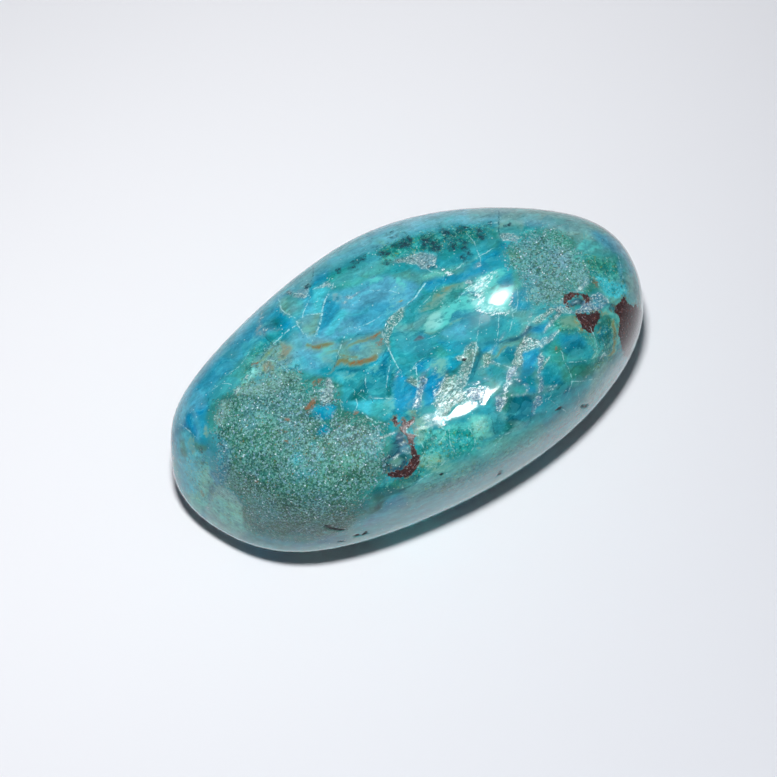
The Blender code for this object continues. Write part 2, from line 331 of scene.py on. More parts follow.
    ("sky", 0.6, 0.7, [(3.8, 4.6), (5.6, 5.6), (7.8, 5.2), (8, 4.2), (5.8, 3.6)]),
    ("deepTeal", 0.5, 0.5, [(8.8, 6.6), (10.6, 6.4), (10.6, 4.6), (8.8, 4.8)]),
    ("deepTeal", 0.4, 0.8, [(8.3, 3), (9, 3.2), (10.3, 3.2), (9.2, 2.2), (8.4, 0.6), (7.8, -0.9), (7.1, -1.6),
                            (7.8, 1)]),
    ("azure", 0.4, 0.7, [(11, 2.4), (13, 2.9), (12.9, 1.4), (11.6, 0.8), (10.4, 1.1)]),
    ("teal", 0.5, 0.8, [(9.8, 0.6), (12, 0), (11.6, -2), (10.6, -1.4), (9.4, -0.6)]),
    ("deepTeal", 0.5, 0.8, [(11.9, 2.6), (13, 2.8), (12.9, 1.2), (12, 0.9), (11.4, 1.4)]),
    ("deepAzure", 0.35, 0.95, [(14.1, 2.1), (15.8, 2.7), (15.7, 1), (15, -0.4), (14, -0.6), (13.8, 0.8)]),
    ("azure", 0.5, 0.85, [(13.6, -0.6), (15.2, -0.6), (15.4, -2.8), (14.6, -2.8), (14, -1.6)]),
    ("cyan", 0.2, 0.9, [(15.3, 1), (15.6, 1), (15.8, 0), (15.5, -0.3)]),
    ("emerald", 0.5, 0.6, [(12.6, -2.2), (14.2, -2), (14.2, -2.9), (13, -2.9)]),
    ("deepTeal", 0.9, 0.95, [(14.6, -6), (16, -3.6), (18, -2.6), (20, -1.4), (21.6, -1.2), (21, -3), (18, -5.2),
                             (15.6, -7)]),
    ("deepAzure", 0.5, 0.8, [(8.6, 2.8), (10.4, 3.2), (11, 2.6), (10.4, 2), (9.4, 2.2)]),
    ("deepAzure", 0.4, 0.8, [(15, 5.2), (16.6, 5.6), (17.8, 6.6), (17.6, 5.6), (16.6, 4.6), (15, 4.5)]),
    ("deepTeal", 0.4, 0.9, [(17, 0.6), (18.8, 1), (19.6, -0.6), (19.8, -2), (18, -1.8), (16.4, -1.6), (16.4, 0)]),
    ("deepTeal", 0.3, 1.0, [(11.9, -3.5), (14.8, -3.2), (15.1, -5.2), (14.6, -6.1), (12.6, -6.3), (11.9, -5.8)]),
    ("deepGreen", 0.35, 0.95, [(9.8, -6), (11.9, -6.2), (13, -6.9), (11.6, -7.8), (10.2, -8), (9.8, -7)]),
    ("mossGreen", 0.4, 0.5, [(11.2, -3), (12.4, -3), (12.2, -5), (11.2, -5)]),
    ("teal", 0.7, 0.8, [(16, -3), (18, -3), (19.6, -3.4), (17, -5.4), (15.4, -5.8), (15.6, -4)]),
    ("seaGreen", 0.8, 0.9, [(1, -7.8), (3, -7.4), (6, -6.6), (8.4, -7), (8.6, -9.6), (6.4, -11), (3.6, -11.2),
                            (1.6, -12.6), (0.8, -11.4), (1.2, -9.6)]),
    ("turquoise", 0.7, 0.6, [(2.8, -7.6), (4.6, -6.9), (7.4, -6.6), (7.2, -7.4), (5, -7.5), (4.6, -9), (3.2, -9.4)]),
    ("emerald", 0.35, 0.95, [(4.9, -7.6), (7.2, -7.5), (8, -8.8), (7.5, -10), (5.6, -10.1), (4.8, -9)]),
    ("brightCyan", 0.6, 0.4, [(5.6, -8.2), (7, -8.4), (7, -9.4), (5.8, -9.2)]),
    ("deepGreen", 0.5, 0.7, [(4.2, -10), (5.6, -10.2), (7.4, -10.1), (7.2, -11), (5, -11.3), (4, -10.8)]),
    ("deepGreen", 0.5, 0.5, [(0.9, -9), (1.8, -8.6), (2, -10.4), (1.2, -10.8)]),
    ("mint", 0.8, 0.7, [(2, -10.4), (3.4, -10.2), (4.2, -10.8), (3.8, -11.8), (2.2, -11.8)]),
    ("deepGreen", 0.5, 0.8, [(4.4, -10.6), (5.6, -10.6), (6, -11.6), (4.8, -11.8)]),
    ("mint", 0.6, 0.95, [(7.2, -5.8), (8.6, -5.4), (10, -5.8), (10, -7.2), (10.2, -8), (9.2, -8.3), (8, -8.2),
                         (7.4, -7)]),
    ("paleMint", 0.5, 0.5, [(7.8, -6.4), (9.2, -6.2), (9.4, -7.4), (8.2, -7.6)]),
    ("seaGreen", 0.6, 0.8, [(8.6, -9), (10.4, -8.6), (12, -8), (13, -7.4), (11, -9), (9, -10.4), (8, -10)]),
    # right end
    ("sky", 1.0, 0.9, [(22, 17.4), (24.6, 16.8), (26.6, 15), (27.6, 12), (26.4, 12.4), (25.2, 14.4), (23.6, 15.6)]),
    ("turquoise", 1.0, 0.35, [(20.8, 15.8), (22.4, 16.6), (23.6, 16), (23.4, 14.8), (21.4, 14.9)]),
    ("seaGreen", 0.8, 0.7, [(21.2, 14), (23, 14.6), (26, 14), (27.2, 12), (25.4, 11.2), (23.4, 11.6), (22, 12.4)]),
    ("mossGreen", 0.7, 0.65, [(20.9, 13.6), (22, 13.8), (25.4, 13.2), (26, 12.2), (23.8, 12.2), (22.2, 11.4),
                              (21.8, 12.6)]),
    ("emerald", 0.5, 0.6, [(24, 13), (25.6, 13), (25.8, 12), (24.4, 12.2)]),
    ("sky", 0.5, 0.6, [(25.6, 13.4), (26.4, 13), (26.6, 11.4), (26, 11.6)]),
    ("brightCyan", 0.35, 1.0, [(23.1, 12), (24.2, 11.4), (25.6, 10.9), (27, 10.4), (26.8, 9.4), (25.2, 8.9),
                               (24.2, 9.6), (23.6, 10.6)]),
    ("greyMint", 0.8, 0.7, [(27, 12), (28.2, 10.6), (28.6, 8), (27.4, 8.2), (26.8, 9.6)]),
    ("mossGreen", 0.4, 0.8, [(22, 11), (23, 11.2), (23.4, 10.2), (22.2, 9.7), (21.6, 10.2)]),
    ("seaGreen", 0.8, 0.9, [(17, 5.4), (20, 6.2), (23.4, 5.4), (25, 6.8), (25.8, 5), (25.6, 1.6), (23, -0.6),
                            (20, -2), (17, 0.6)]),
    ("mossGreen", 0.5, 0.6, [(18.6, 5.8), (20.2, 6.6), (20.6, 5.4), (19.2, 4.9)]),
    ("deepGreen", 0.6, 0.7, [(19, 0.8), (22, 1), (23, 0), (22, -1.2), (20.4, -0.8)]),
    ("teal", 0.35, 1.0, [(18, 3.5), (18.6, 4.6), (20.2, 4.8), (21.4, 4.2), (22.3, 3), (22.5, 2), (21.6, 1.5),
                              (19.8, 1.7), (18.6, 2.2)]),
    ("deepAzure", 0.6, 0.5, [(18.6, 4), (20.4, 4.4), (21.6, 3.4), (21, 2.6), (19.2, 3)]),
    ("mossGreen", 0.3, 0.8, [(17.8, 2.9), (18.6, 3), (18.8, 2.3), (18, 2.2)]),
    ("deepTeal", 0.5, 0.85, [(23.3, 6), (24.7, 6.2), (24.9, 3.6), (23.8, 3), (23.2, 4.4)]),
    ("deepAzure", 0.4, 0.5, [(23.6, 5.6), (24.5, 5.6), (24.5, 4.6), (23.6, 4.4)]),
    # lower flank
    ("flank", 1.0, 0.95, [(0.8, -13.4), (2.4, -12.4), (5, -11.4), (8, -10.2), (11, -8.8), (15, -6.4), (19, -3.4),
                          (21.6, -1.4), (23.4, 0.4), (26.6, 1.6), (25, -2), (20, -6.6), (14, -11.4), (6, -16),
                          (0, -19), (-6, -20.6), (-7, -18.6), (-4.6, -16.6), (-1.4, -15.4)]),
    ("oliveGrey", 0.9, 0.75, [(0.8, -13.8), (5, -12), (8.4, -11), (7, -13.4), (2, -16), (-2.4, -18), (-2, -16.2)]),
    ("blueGrey", 0.8, 0.7, [(-3.6, -16.6), (-1, -15.6), (-0.6, -16.8), (-3.4, -18.6), (-5.6, -19.4), (-5.4, -18.4)]),
    ("smoke", 0.8, 0.45, [(9, -10.2), (14.6, -7.6), (19, -4.4), (18.4, -5.6), (13, -10), (8, -12.4)]),
    ("mint", 1.0, 0.5, [(9, -9.4), (12, -8.2), (11.6, -9.6), (9.4, -11)]),
    ("lobeGreen", 0.8, 0.7, [(1.2, -12), (3.6, -11.8), (6, -11.2), (5.4, -12.4), (2, -13.2)]),
    ("deepTeal", 1.0, 0.6, [(21, 0.8), (24, 1.6), (25.4, 3.4), (25, 1.6), (22.6, -0.2)]),
    ("mint", 0.8, 0.8, [(-27, -11.4), (-25.4, -11.6), (-24.6, -14), (-25.4, -15.6), (-26.8, -14.8)]),
    ("mint", 0.8, 0.6, [(-24, -15.6), (-21.6, -16.4), (-20, -19), (-21.4, -20), (-24, -17.6)]),
    ("greyGreen", 0.5, 0.8, [(-15.6, 8.2), (-14.4, 8.8), (-13.8, 7.8), (-14.8, 7.2)]),
    ("greyGreen", 0.5, 0.9, [(-13.2, 6.4), (-11.6, 6.2), (-11.8, 5), (-12.8, 5)]),
    ("brownGrey", 0.6, 0.9, [(-18.4, 0.8), (-17, 1), (-16.6, -0.2), (-18, -0.6)]),
    ("brownGrey", 0.6, 0.8, [(-16.6, 2), (-15, 3.2), (-14.4, 2.4), (-16, 1)]),
    ("azure", 0.8, 0.8, [(-1.8, -1.2), (0, -1.4), (0, -2.8), (-1.6, -2.8)]),
    ("deepTeal", 0.8, 0.5, [(-4.8, 0.8), (-2.6, 0.8), (-2.8, -0.8), (-4.6, -0.8)]),
    ("teal", 0.5, 0.8, [(7, 5), (10.4, 6.2), (10.4, 5.2), (8.4, 4)]),
    ("deepTeal", 0.5, 0.7, [(8.2, 3.6), (10, 4), (11.4, 3.8), (10, 3), (8.4, 3)]),
    ("deepTeal", 1.0, 0.6, [(13, 0), (15, 0.4), (15.2, -2), (13, -2)]),
    ("deepTeal", 0.8, 0.8, [(19, 3.4), (20.6, 3.8), (21.6, 2.6), (20.6, 1.6), (19.2, 2)]),
    ("deepTeal", 0.6, 0.8, [(15.8, 3.6), (17.2, 3.6), (17, 2.4), (16, 2.4)]),
    ("bottleGreen", 1.0, 0.8, [(-5.4, -13.6), (-2.4, -13.8), (-2.4, -15.4), (-5, -16.6)]),
    ("pocket", 0.6, 0.9, [(-3.2, -9), (-1.2, -9), (-1.2, -11.4), (-3, -11.4)]),
    # pale band on the top rim, partly the stone's paler colour and partly painted reflection of the bright room
    ("paleRimWithReflection", 1.2, 0.7, [(-4, 17.8), (0, 19), (6, 20), (14, 19.8), (20, 18.2), (20, 17.2), (12, 18.4), (4, 18.4), (-3, 16.8)]),
    ("mint", 1.2, 0.35, [(10, -9), (16, -6.6), (16, -9), (12, -11), (6, -13), (0, -15.4), (0, -13.6), (6, -11)]),
    ("sky", 1.0, 0.5, [(-15, 9.4), (-12.4, 8.8), (-12, 6), (-14.4, 5.4)]),
    ("sky", 1.2, 0.5, [(-10, 10.6), (-7, 13.2), (-3.4, 14.6), (-3.8, 12.8), (-7, 11.2)]),
    ("brownGrey", 1.2, 0.45, [(-11, 1.8), (-8, 1.4), (-6.4, 0.4), (-6.8, -1), (-9, -1)]),
    ("brownGrey", 1.4, 0.3, [(-2.6, 10.4), (-0.4, 10.4), (-1, 6), (-2.6, 2), (-4.6, -0.4), (-5.4, 1.4), (-3.4, 5)]),
    ("brownGrey", 1.0, 0.35, [(0, 6.4), (1.6, 8.6), (2.6, 8.2), (1.4, 6)]),
    ("brownGrey", 1.0, 0.4, [(-3.6, -2.6), (-2, -3), (-2, -5), (-3.4, -5.4)]),
    ("sky", 1.2, 0.4, [(-1.6, 4.8), (1.6, 4.6), (2.4, 2.6), (-1, 2)]),
    ("mossGreen", 0.6, 0.6, [(17.2, 6.2), (18.8, 6.6), (20.8, 5), (20.4, 4.4), (18.4, 5)]),
    ("mossGreen", 0.7, 0.55, [(17, 1.2), (19, 0.8), (22, 0.6), (23.6, 2), (24, 4), (24.8, 3.6), (24.6, 1), (21, -0.8),
                              (17.4, -0.6)]),
    ("mossGreen", 0.5, 0.5, [(23.2, 6.8), (24.6, 7), (25.2, 5.4), (24.8, 3.8), (23.8, 4.2)]),
    ("deepGreen", 0.8, 0.4, [(21.4, 13.8), (23.4, 13.4), (25.6, 12.2), (23.4, 11.8), (21.8, 12)]),
    ("gold", 0.6, 0.5, [(-0.6, -3.6), (1.4, -3.8), (2.2, -7), (1.6, -9), (0.8, -8.6), (-0.4, -5.6)]),
    ("brightCyan", 0.6, 0.6, [(-27.4, -10.6), (-26, -11), (-25.6, -12.4), (-26.6, -15), (-27.8, -13)]),
    ("azure", 0.8, 0.5, [(15.6, 0.6), (18, 0.6), (18.6, -1.6), (16.4, -1.6)]),
    ("emerald", 0.5, 0.7, [(-0.2, -12), (1.4, -11.6), (1.6, -13), (0.4, -13.4)]),
    ("gold", 0.6, 0.35, [(2.6, 1.4), (4.6, 1.2), (4.2, -1.2), (2.8, -1)]),
    ("brownGrey", 0.8, 0.4, [(-19.8, 4.6), (-18, 5.8), (-17.2, 4.6), (-19, 3.6)]),
    ("azure", 0.8, 0.4, [(-10.4, 0.4), (-8, 0.8), (-7.4, -0.8), (-9.6, -0.8)]),
    ("brownGrey", 0.8, 0.4, [(-6.4, 3.2), (-4, 3.4), (-3.6, 1.8), (-5.6, 1.6)]),
    ("emerald", 0.8, 0.5, [(2.6, -9.6), (5, -9), (7, -9.6), (5.6, -10.8), (3, -11)]),
    ("teal", 0.8, 0.5, [(9, -6), (11.4, -5.6), (11.6, -7.2), (9.8, -7.6)]),
    ("bottleGreen", 0.5, 0.7, [(-28.4, -7.6), (-27, -7.4), (-26.6, -9.6), (-28, -10.2)]),
    ("gold", 0.5, 0.6, [(-25.6, -6.8), (-24.2, -6.8), (-24.2, -8.2), (-25.6, -8.4)]),
    ("seaGreen", 0.8, 0.5, [(-6, -16), (-3.4, -15.8), (-3.4, -17.4), (-5.6, -17.8)]),
    ("brownGrey", 1.2, 0.25, [(-1, 5.6), (2, 9.4), (5, 10.4), (4.6, 8.4), (1.6, 3.4), (-1, 3)]),
    ("oliveBrown", 0.8, 0.25, [(-10.6, 2.6), (-8.6, 0.8), (-7.4, -0.6), (-9, -1), (-10.6, 1)]),
    ("oliveBrown", 0.6, 0.6, [(18.4, 6.6), (20.2, 6.8), (20.6, 5.2), (19, 5.2)]),
    ("greyMint", 0.8, 0.4, [(11, 19.2), (13.8, 19.2), (13.8, 17), (11.2, 17)]),
    ("greyMint", 1.0, 0.4, [(16, 19.4), (22, 18), (22.6, 16), (18, 17)]),
    ("sky", 1.0, 0.35, [(-26.4, -2.6), (-21, 3.4), (-18, 6.4), (-17, 5), (-21, 1), (-25, -3)]),
    ("paleSky", 1.0, 0.4, [(-15.6, 0.4), (-12, 0.2), (-11, -1.6), (-13, -2.6), (-15.6, -1)]),
    ("gold", 1.0, 0.5, [(1, -11), (3.4, -10.4), (5.6, -11.2), (4.6, -12.4), (2, -12.6)]),
    ("teal", 0.8, 0.7, [(11, 17.6), (13.6, 17.8), (13.6, 15.8), (11.8, 15.4)]),
    ("pocket", 0.5, 0.9, [(-1.6, -8.6), (-0.6, -9), (-0.2, -10.6), (-0.8, -12), (-2, -12.4), (-2.4, -11.2)]),
    ("cyan", 1.2, 0.9, [(-28.6, -8), (-27, -8), (-26.4, -12), (-26.6, -15), (-28, -14.6), (-28.8, -12)]),
    ("oliveBrown", 0.5, 0.6, [(-27.6, -8.6), (-26.6, -8.4), (-26.4, -10), (-27.2, -10.2)]),
    ("greyMint", 1.0, 0.7, [(22.4, -1), (23.4, 0.6), (26, 1.2), (25.6, -0.8), (22, -4.2)]),
    ("bottleGreen", 0.4, 0.95, [(-4.4, -14.4), (-3, -14.4), (-1, -13.3), (0.7, -13.1), (0.8, -13.9), (-0.6, -14.8),
                                (-2.2, -15.6), (-3.4, -16.4), (-4.3, -15.6)]),
    ("mossGreen", 0.4, 0.8, [(-2.5, -13.9), (-0.8, -13.5), (0.6, -13.4), (-0.4, -14.6), (-2.2, -14.6)]),
    ("bottleGreen", 0.8, 1.0, [(-7, -16), (-5.2, -15.2), (-4, -15.4), (-3.4, -16.6), (-5, -17.8), (-6.8, -18.2)]),
    ("seaGreen", 0.5, 0.5, [(-6.6, -16), (-5, -15.4), (-4.4, -16.2), (-4.6, -17.4), (-6, -18.2), (-7, -17.8)]),
    ("deepTeal", 0.4, 0.7, [(-6.2, -16.2), (-5.2, -16.1), (-5.4, -17.2), (-6.2, -17.2)]),
    ("smoke", 1.2, 0.5, [(-20, -20.2), (-14, -20.8), (-8, -20.2), (-8, -21.6), (-15, -22.3), (-20, -21.4)]),
    ("seaGreen", 0.6, 0.5, [(-3.2, -9.4), (-2.4, -8.8), (-2.6, -10.4), (-3.2, -10.8), (-3.8, -10)]),
    # dark blue glassy pocket inside the hook
    ("pocket", 0.35, 1.0, [(-2, -8.2), (-1.2, -7.9), (-0.6, -8.6), (0, -9.6), (0.3, -10.6), (0, -11.3), (-0.9, -12.3),
                           (-2.5, -12.7), (-3.5, -12), (-3, -10.8), (-2, -9.6)]),
    ("pocketBlue", 0.3, 0.85, [(-1.9, -8), (-1.2, -8), (-0.5, -9), (-0.2, -10), (-1, -10.4), (-1.5, -9.6)]),
    ("greyGreen", 0.3, 0.7, [(-2.4, -11.2), (-1.1, -10.9), (-1.2, -11.9), (-2.2, -12)]),
]

# drawn-out streaks of colour: mineral, softness, strength, then across, up and half-width at each corner
tintStreaks = [
    # pale rim along the upper edge, partly the stone's paler colour and partly painted reflection of the bright room
    ("paleRimWithReflection", 1.6, 0.75, [(-29.4, -6.5, 0.7), (-28.2, -2.6, 0.8), (-26, 0.4, 0.9), (-23, 3.6, 1.0), (-19, 7.4, 1.1),
                            (-15, 10.8, 1.2), (-11.6, 13.2, 1.3), (-8, 15.2, 1.3), (-4, 17, 1.3), (0, 18.2, 1.2),
                            (4, 19, 1.1), (8, 19.4, 1.0)]),
    ("greyRimWithReflection", 1.2, 0.7, [(8, 19.6, 0.8), (12, 19.8, 0.8), (16, 19.4, 0.9), (20, 18.4, 0.9), (22, 17.6, 0.6)]),
    ("paleSky", 0.6, 0.5, [(-8.4, 14, 0.1), (-6, 14.6, 0.4), (-3.4, 15.6, 0.5), (-1.4, 16.8, 0.3)]),
    ("brownGrey", 0.6, 0.4, [(-4.4, 16.2, 0.2), (-3.6, 15.8, 0.5)]),
    ("paleSky", 0.6, 0.5, [(-28.4, -6.6, 0.3), (-27.6, -4.6, 0.4), (-26.4, -6.2, 0.3), (-26.2, -8.4, 0.2)]),
    ("mossGreen", 0.4, 0.9, [(-26.4, -9.2, 0.3), (-26, -9.6, 0.5), (-25.4, -9.5, 0.3)]),
    ("mossGreen", 0.4, 0.7, [(-28.2, -8.8, 0.3), (-28, -10.4, 0.35)]),
    ("oliveBrown", 0.3, 0.8, [(-25.8, -14.9, 0.2), (-25.6, -15.3, 0.3)]),
    ("paleTurquoise", 0.5, 0.7, [(-21.4, -3.6, 0.3), (-20.2, -1.6, 0.5), (-19.2, -0.2, 0.4)]),
    ("paleMint", 0.4, 0.6, [(-21, -2.8, 0.2), (-19.8, -2.4, 0.3), (-19.4, -0.8, 0.2)]),
    # iron-stained streaks through the blue heart
    ("oliveBrown", 0.5, 0.7, [(-19.2, 0.9, 0.15), (-18.3, 1.3, 0.35), (-17.5, 2.1, 0.35), (-16.8, 2.7, 0.2)]),
    ("brownGrey", 0.6, 0.8, [(-15.8, 1.4, 0.3), (-15.3, 2.2, 0.5), (-15.8, 3.2, 0.4)]),
    ("oliveBrown", 0.4, 0.95, [(-9.3, 0.6, 0.15), (-8.6, 1.2, 0.4), (-7.4, 0.8, 0.4), (-6, 1.1, 0.35),
                               (-4.8, 1.4, 0.4), (-4.2, 1.8, 0.2)]),
    ("oliveBrown", 0.4, 0.9, [(-8.9, 2, 0.1), (-8, 1.8, 0.25), (-6.6, 1.6, 0.2)]),
    ("oliveBrown", 0.5, 0.85, [(-8, 2.7, 0.12), (-6.6, 3.4, 0.25), (-5, 3.9, 0.3), (-3.8, 4.4, 0.25), (-3.4, 4.9, 0.15)]),
    ("oliveBrown", 0.4, 0.95, [(-12.7, 3, 0.2), (-11.6, 2.7, 0.35), (-10.4, 3.1, 0.3), (-9.4, 3.4, 0.15)]),
    ("oliveBrown", 0.4, 0.8, [(-10, 2.3, 0.15), (-8.9, 2.3, 0.2)]),
    ("oliveBrown", 0.5, 0.7, [(-9.4, 0.8, 0.1), (-9.7, 0, 0.25), (-10.6, -0.4, 0.2)]),
    ("plum", 0.25, 0.95, [(0.6, 3.8, 0.12), (1.1, 4, 0.22), (1.6, 4.1, 0.1)]),
    ("gold", 0.3, 0.9, [(-1.2, 8.5, 0.15), (-1, 8.3, 0.2)]),
    ("gold", 0.6, 0.5, [(1.6, 7, 0.1), (2, 8, 0.2), (3.2, 9.2, 0.2), (5, 10.2, 0.2)]),
    ("oliveBrown", 0.5, 0.6, [(3.4, 9.4, 0.1), (4.6, 10.2, 0.25), (6.4, 10.9, 0.2)]),
    ("oliveBrown", 0.5, 0.7, [(2, 4.5, 0.1), (4, 4.9, 0.15), (5.4, 6, 0.15), (7.6, 6.8, 0.12)]),
    ("oliveBrown", 0.4, 0.8, [(10.2, 1.4, 0.12), (11, 1.8, 0.2), (11.6, 2.8, 0.2), (12.4, 3, 0.1)]),
    ("oliveBrown", 0.4, 0.7, [(9, 1.4, 0.15), (9.4, 0.8, 0.25)]),
    # deep blue seams
    ("navy", 0.35, 0.9, [(-9.2, -0.1, 0.1), (-7, 0, 0.13), (-5, 0.2, 0.06)]),
    ("azure", 0.6, 0.8, [(3.6, 3.6, 0.2), (5, 3, 0.6), (7, 2.8, 0.5), (8, 2.6, 0.2)]),
    ("navy", 0.4, 0.9, [(5.4, 3.1, 0.08), (6.8, 3.3, 0.15), (8.4, 3.2, 0.22), (10.4, 3.4, 0.2), (12.4, 3.7, 0.22),
                        (13.6, 4, 0.2), (14.4, 4.8, 0.1)]),
    ("navy", 0.4, 0.8, [(13.9, 3.6, 0.1), (14.4, 4.6, 0.2), (14.8, 5.6, 0.12)]),
    ("navy", 0.3, 0.75, [(0.6, 0.8, 0.08), (2, 1.3, 0.1), (3.4, 1.8, 0.06)]),
    ("navy", 0.4, 0.6, [(-2.8, 2.6, 0.1), (-3.2, 1.2, 0.16), (-3.8, 0.2, 0.1)]),
    ("pocket", 0.3, 1.0, [(20, 8.2, 0.3), (20.7, 8.5, 0.5), (21.3, 8.4, 0.4), (21.6, 8, 0.2)]),
    ("navy", 0.4, 0.6, [(16, 6.4, 0.1), (17, 6.2, 0.25), (17.8, 6.9, 0.15)]),
    ("deepGreen", 0.4, 0.8, [(-2, 0.3, 0.15), (-2.2, -1.2, 0.35), (-2.6, -3, 0.25)]),
    ("oliveBrown", 0.4, 0.5, [(-1.8, 0.2, 0.1), (-2, -0.8, 0.2), (-2.2, -2, 0.1)]),
    ("bottleGreen", 0.4, 0.6, [(4.6, 0, 0.15), (5.6, -0.2, 0.2)]),
    ("cyan", 0.3, 0.8, [(-4.7, 0.5, 0.1), (-3.9, 1.2, 0.25), (-3.2, 2.1, 0.1)]),
    ("brightCyan", 0.3, 0.8, [(-9.9, -2.5, 0.1), (-8.4, -2.5, 0.15), (-7.2, -2.6, 0.08)]),
    ("cyan", 0.4, 0.7, [(-0.4, 8.2, 0.15), (0.8, 9.4, 0.2), (1.8, 10.6, 0.2)]),
    ("turquoise", 0.6, 0.8, [(-4.8, 10.8, 0.3), (-3.4, 11.2, 0.3)]),
    ("turquoise", 0.4, 0.85, [(-1.5, 11.6, 0.15), (-1.2, 10.9, 0.2), (-0.6, 10.6, 0.25)]),
    ("mint", 0.4, 0.7, [(1.6, 11.6, 0.2), (3, 11.9, 0.35), (4.2, 11.8, 0.2)]),
    ("mint", 0.5, 0.5, [(5.2, 12.8, 0.15), (7, 13.4, 0.15), (8.4, 14, 0.15)]),
    ("sky", 0.4, 0.7, [(6.2, 9.2, 0.1), (7.6, 9.6, 0.2), (8.4, 9.2, 0.1)]),
    ("mint", 0.4, 0.6, [(13.2, 9.4, 0.12), (13.3, 8.4, 0.12)]),
    ("mint", 0.4, 0.5, [(13.9, 9.3, 0.1), (14, 8.2, 0.12)]),
    # gold-green rims at the right end
    ("gold", 0.35, 0.9, [(24.9, 6.3, 0.15), (25.2, 5.2, 0.28), (25.4, 3.6, 0.25), (25, 2.3, 0.2), (24.3, 1.7, 0.12)]),
    ("oliveBrown", 0.3, 0.6, [(25.1, 5.4, 0.1), (25.4, 4.2, 0.15), (25.2, 3, 0.1)]),
    ("gold", 0.3, 0.8, [(20.2, 6.5, 0.12), (20.8, 5.4, 0.18), (21.8, 4.6, 0.16), (22.8, 4.5, 0.18), (23.4, 5.2, 0.16),
                        (23.5, 6.2, 0.12)]),
    ("gold", 0.3, 0.7, [(23.6, 6.9, 0.12), (24.2, 7.3, 0.25), (24.6, 7.1, 0.15)]),
    ("gold", 0.3, 0.5, [(22.2, 3.6, 0.06), (22.8, 2.8, 0.14), (22.4, 1.6, 0.1)]),
    ("mint", 0.3, 0.85, [(24.6, 7.4, 0.1), (25.4, 6.6, 0.25), (25.8, 6, 0.25), (25.9, 4.6, 0.18), (26, 3, 0.1)]),
    ("mint", 0.3, 0.7, [(22.2, 4.2, 0.12), (22.8, 3.2, 0.3), (23.1, 2.2, 0.2), (22.6, 1.4, 0.15)]),
    ("oliveBrown", 0.4, 0.6, [(21.9, 12.8, 0.15), (22.4, 13.3, 0.2)]),
    ("navy", 0.35, 0.6, [(24.6, 8.2, 0.3), (25, 7.6, 0.3)]),
    ("gold", 0.4, 0.6, [(4.9, -9.2, 0.15), (5.1, -8.8, 0.15)]),
    ("gold", 0.4, 0.6, [(8.1, -9.2, 0.15), (8.6, -9.8, 0.2)]),
    ("gold", 0.3, 0.8, [(3.4, -11.3, 0.12), (3.9, -11.4, 0.15)]),
    ("oliveBrown", 0.4, 0.6, [(0.9, -11.8, 0.15), (2, -12, 0.2)]),
    # thin pale line along the lower edge: painted reflection of the lit table
    ("lowerEdgeReflection", 0.5, 0.6, [(-20, -21, 0.2), (-14, -22, 0.3), (-4, -20.6, 0.3), (6, -16.4, 0.3), (14, -12.2, 0.3)]),
]

# grainy crystal-lined patches, as outlines
drusePatches = [
    [(-23.6, -4.6), (-22.6, -3.4), (-21, -2.4), (-20.2, -1.6), (-18.6, -1.2), (-17, -0.6), (-15.4, -0.2),
     (-13.6, -1.0), (-12.4, -2.2), (-11.2, -2), (-9.8, -2.2), (-9, -3.4), (-8.6, -5.6), (-7.6, -5.8),
     (-5.8, -6.2), (-3.8, -7.0), (-3.2, -8), (-3.6, -9.4), (-3.2, -11.2), (-3.6, -13), (-4.6, -14.3), (-6, -15.4),
     (-6.8, -16.6), (-7, -18.2), (-8.6, -19.4), (-12.5, -20.3), (-17, -20.2), (-19.4, -19.3), (-20.2, -17.2),
     (-21.4, -15.4), (-23.2, -14), (-23.6, -11), (-24, -8.5), (-24.2, -6.2)],
    [(11.8, 14.6), (13.4, 16), (15.4, 16.8), (18, 17), (20.2, 15.6), (20.6, 14.4), (21.6, 13), (22, 11.5),
     (21.6, 10.2), (20.4, 9.9), (19.3, 9.9), (18.8, 8.6), (17.5, 8), (15.5, 8.2), (14.8, 9), (14.4, 10.6),
     (13.6, 12), (12.4, 13.2)],
]
druseHoles = [  # smooth mineral that shows through the grains
    [(-12.2, -4.6), (-10.6, -4.2), (-9, -4.2), (-9.3, -5.4), (-10.4, -6.2), (-11.8, -5.8)],
    [(-11.4, -7), (-10.6, -6.7), (-10.1, -7.4), (-10.8, -8.2), (-11.5, -7.8)],
]
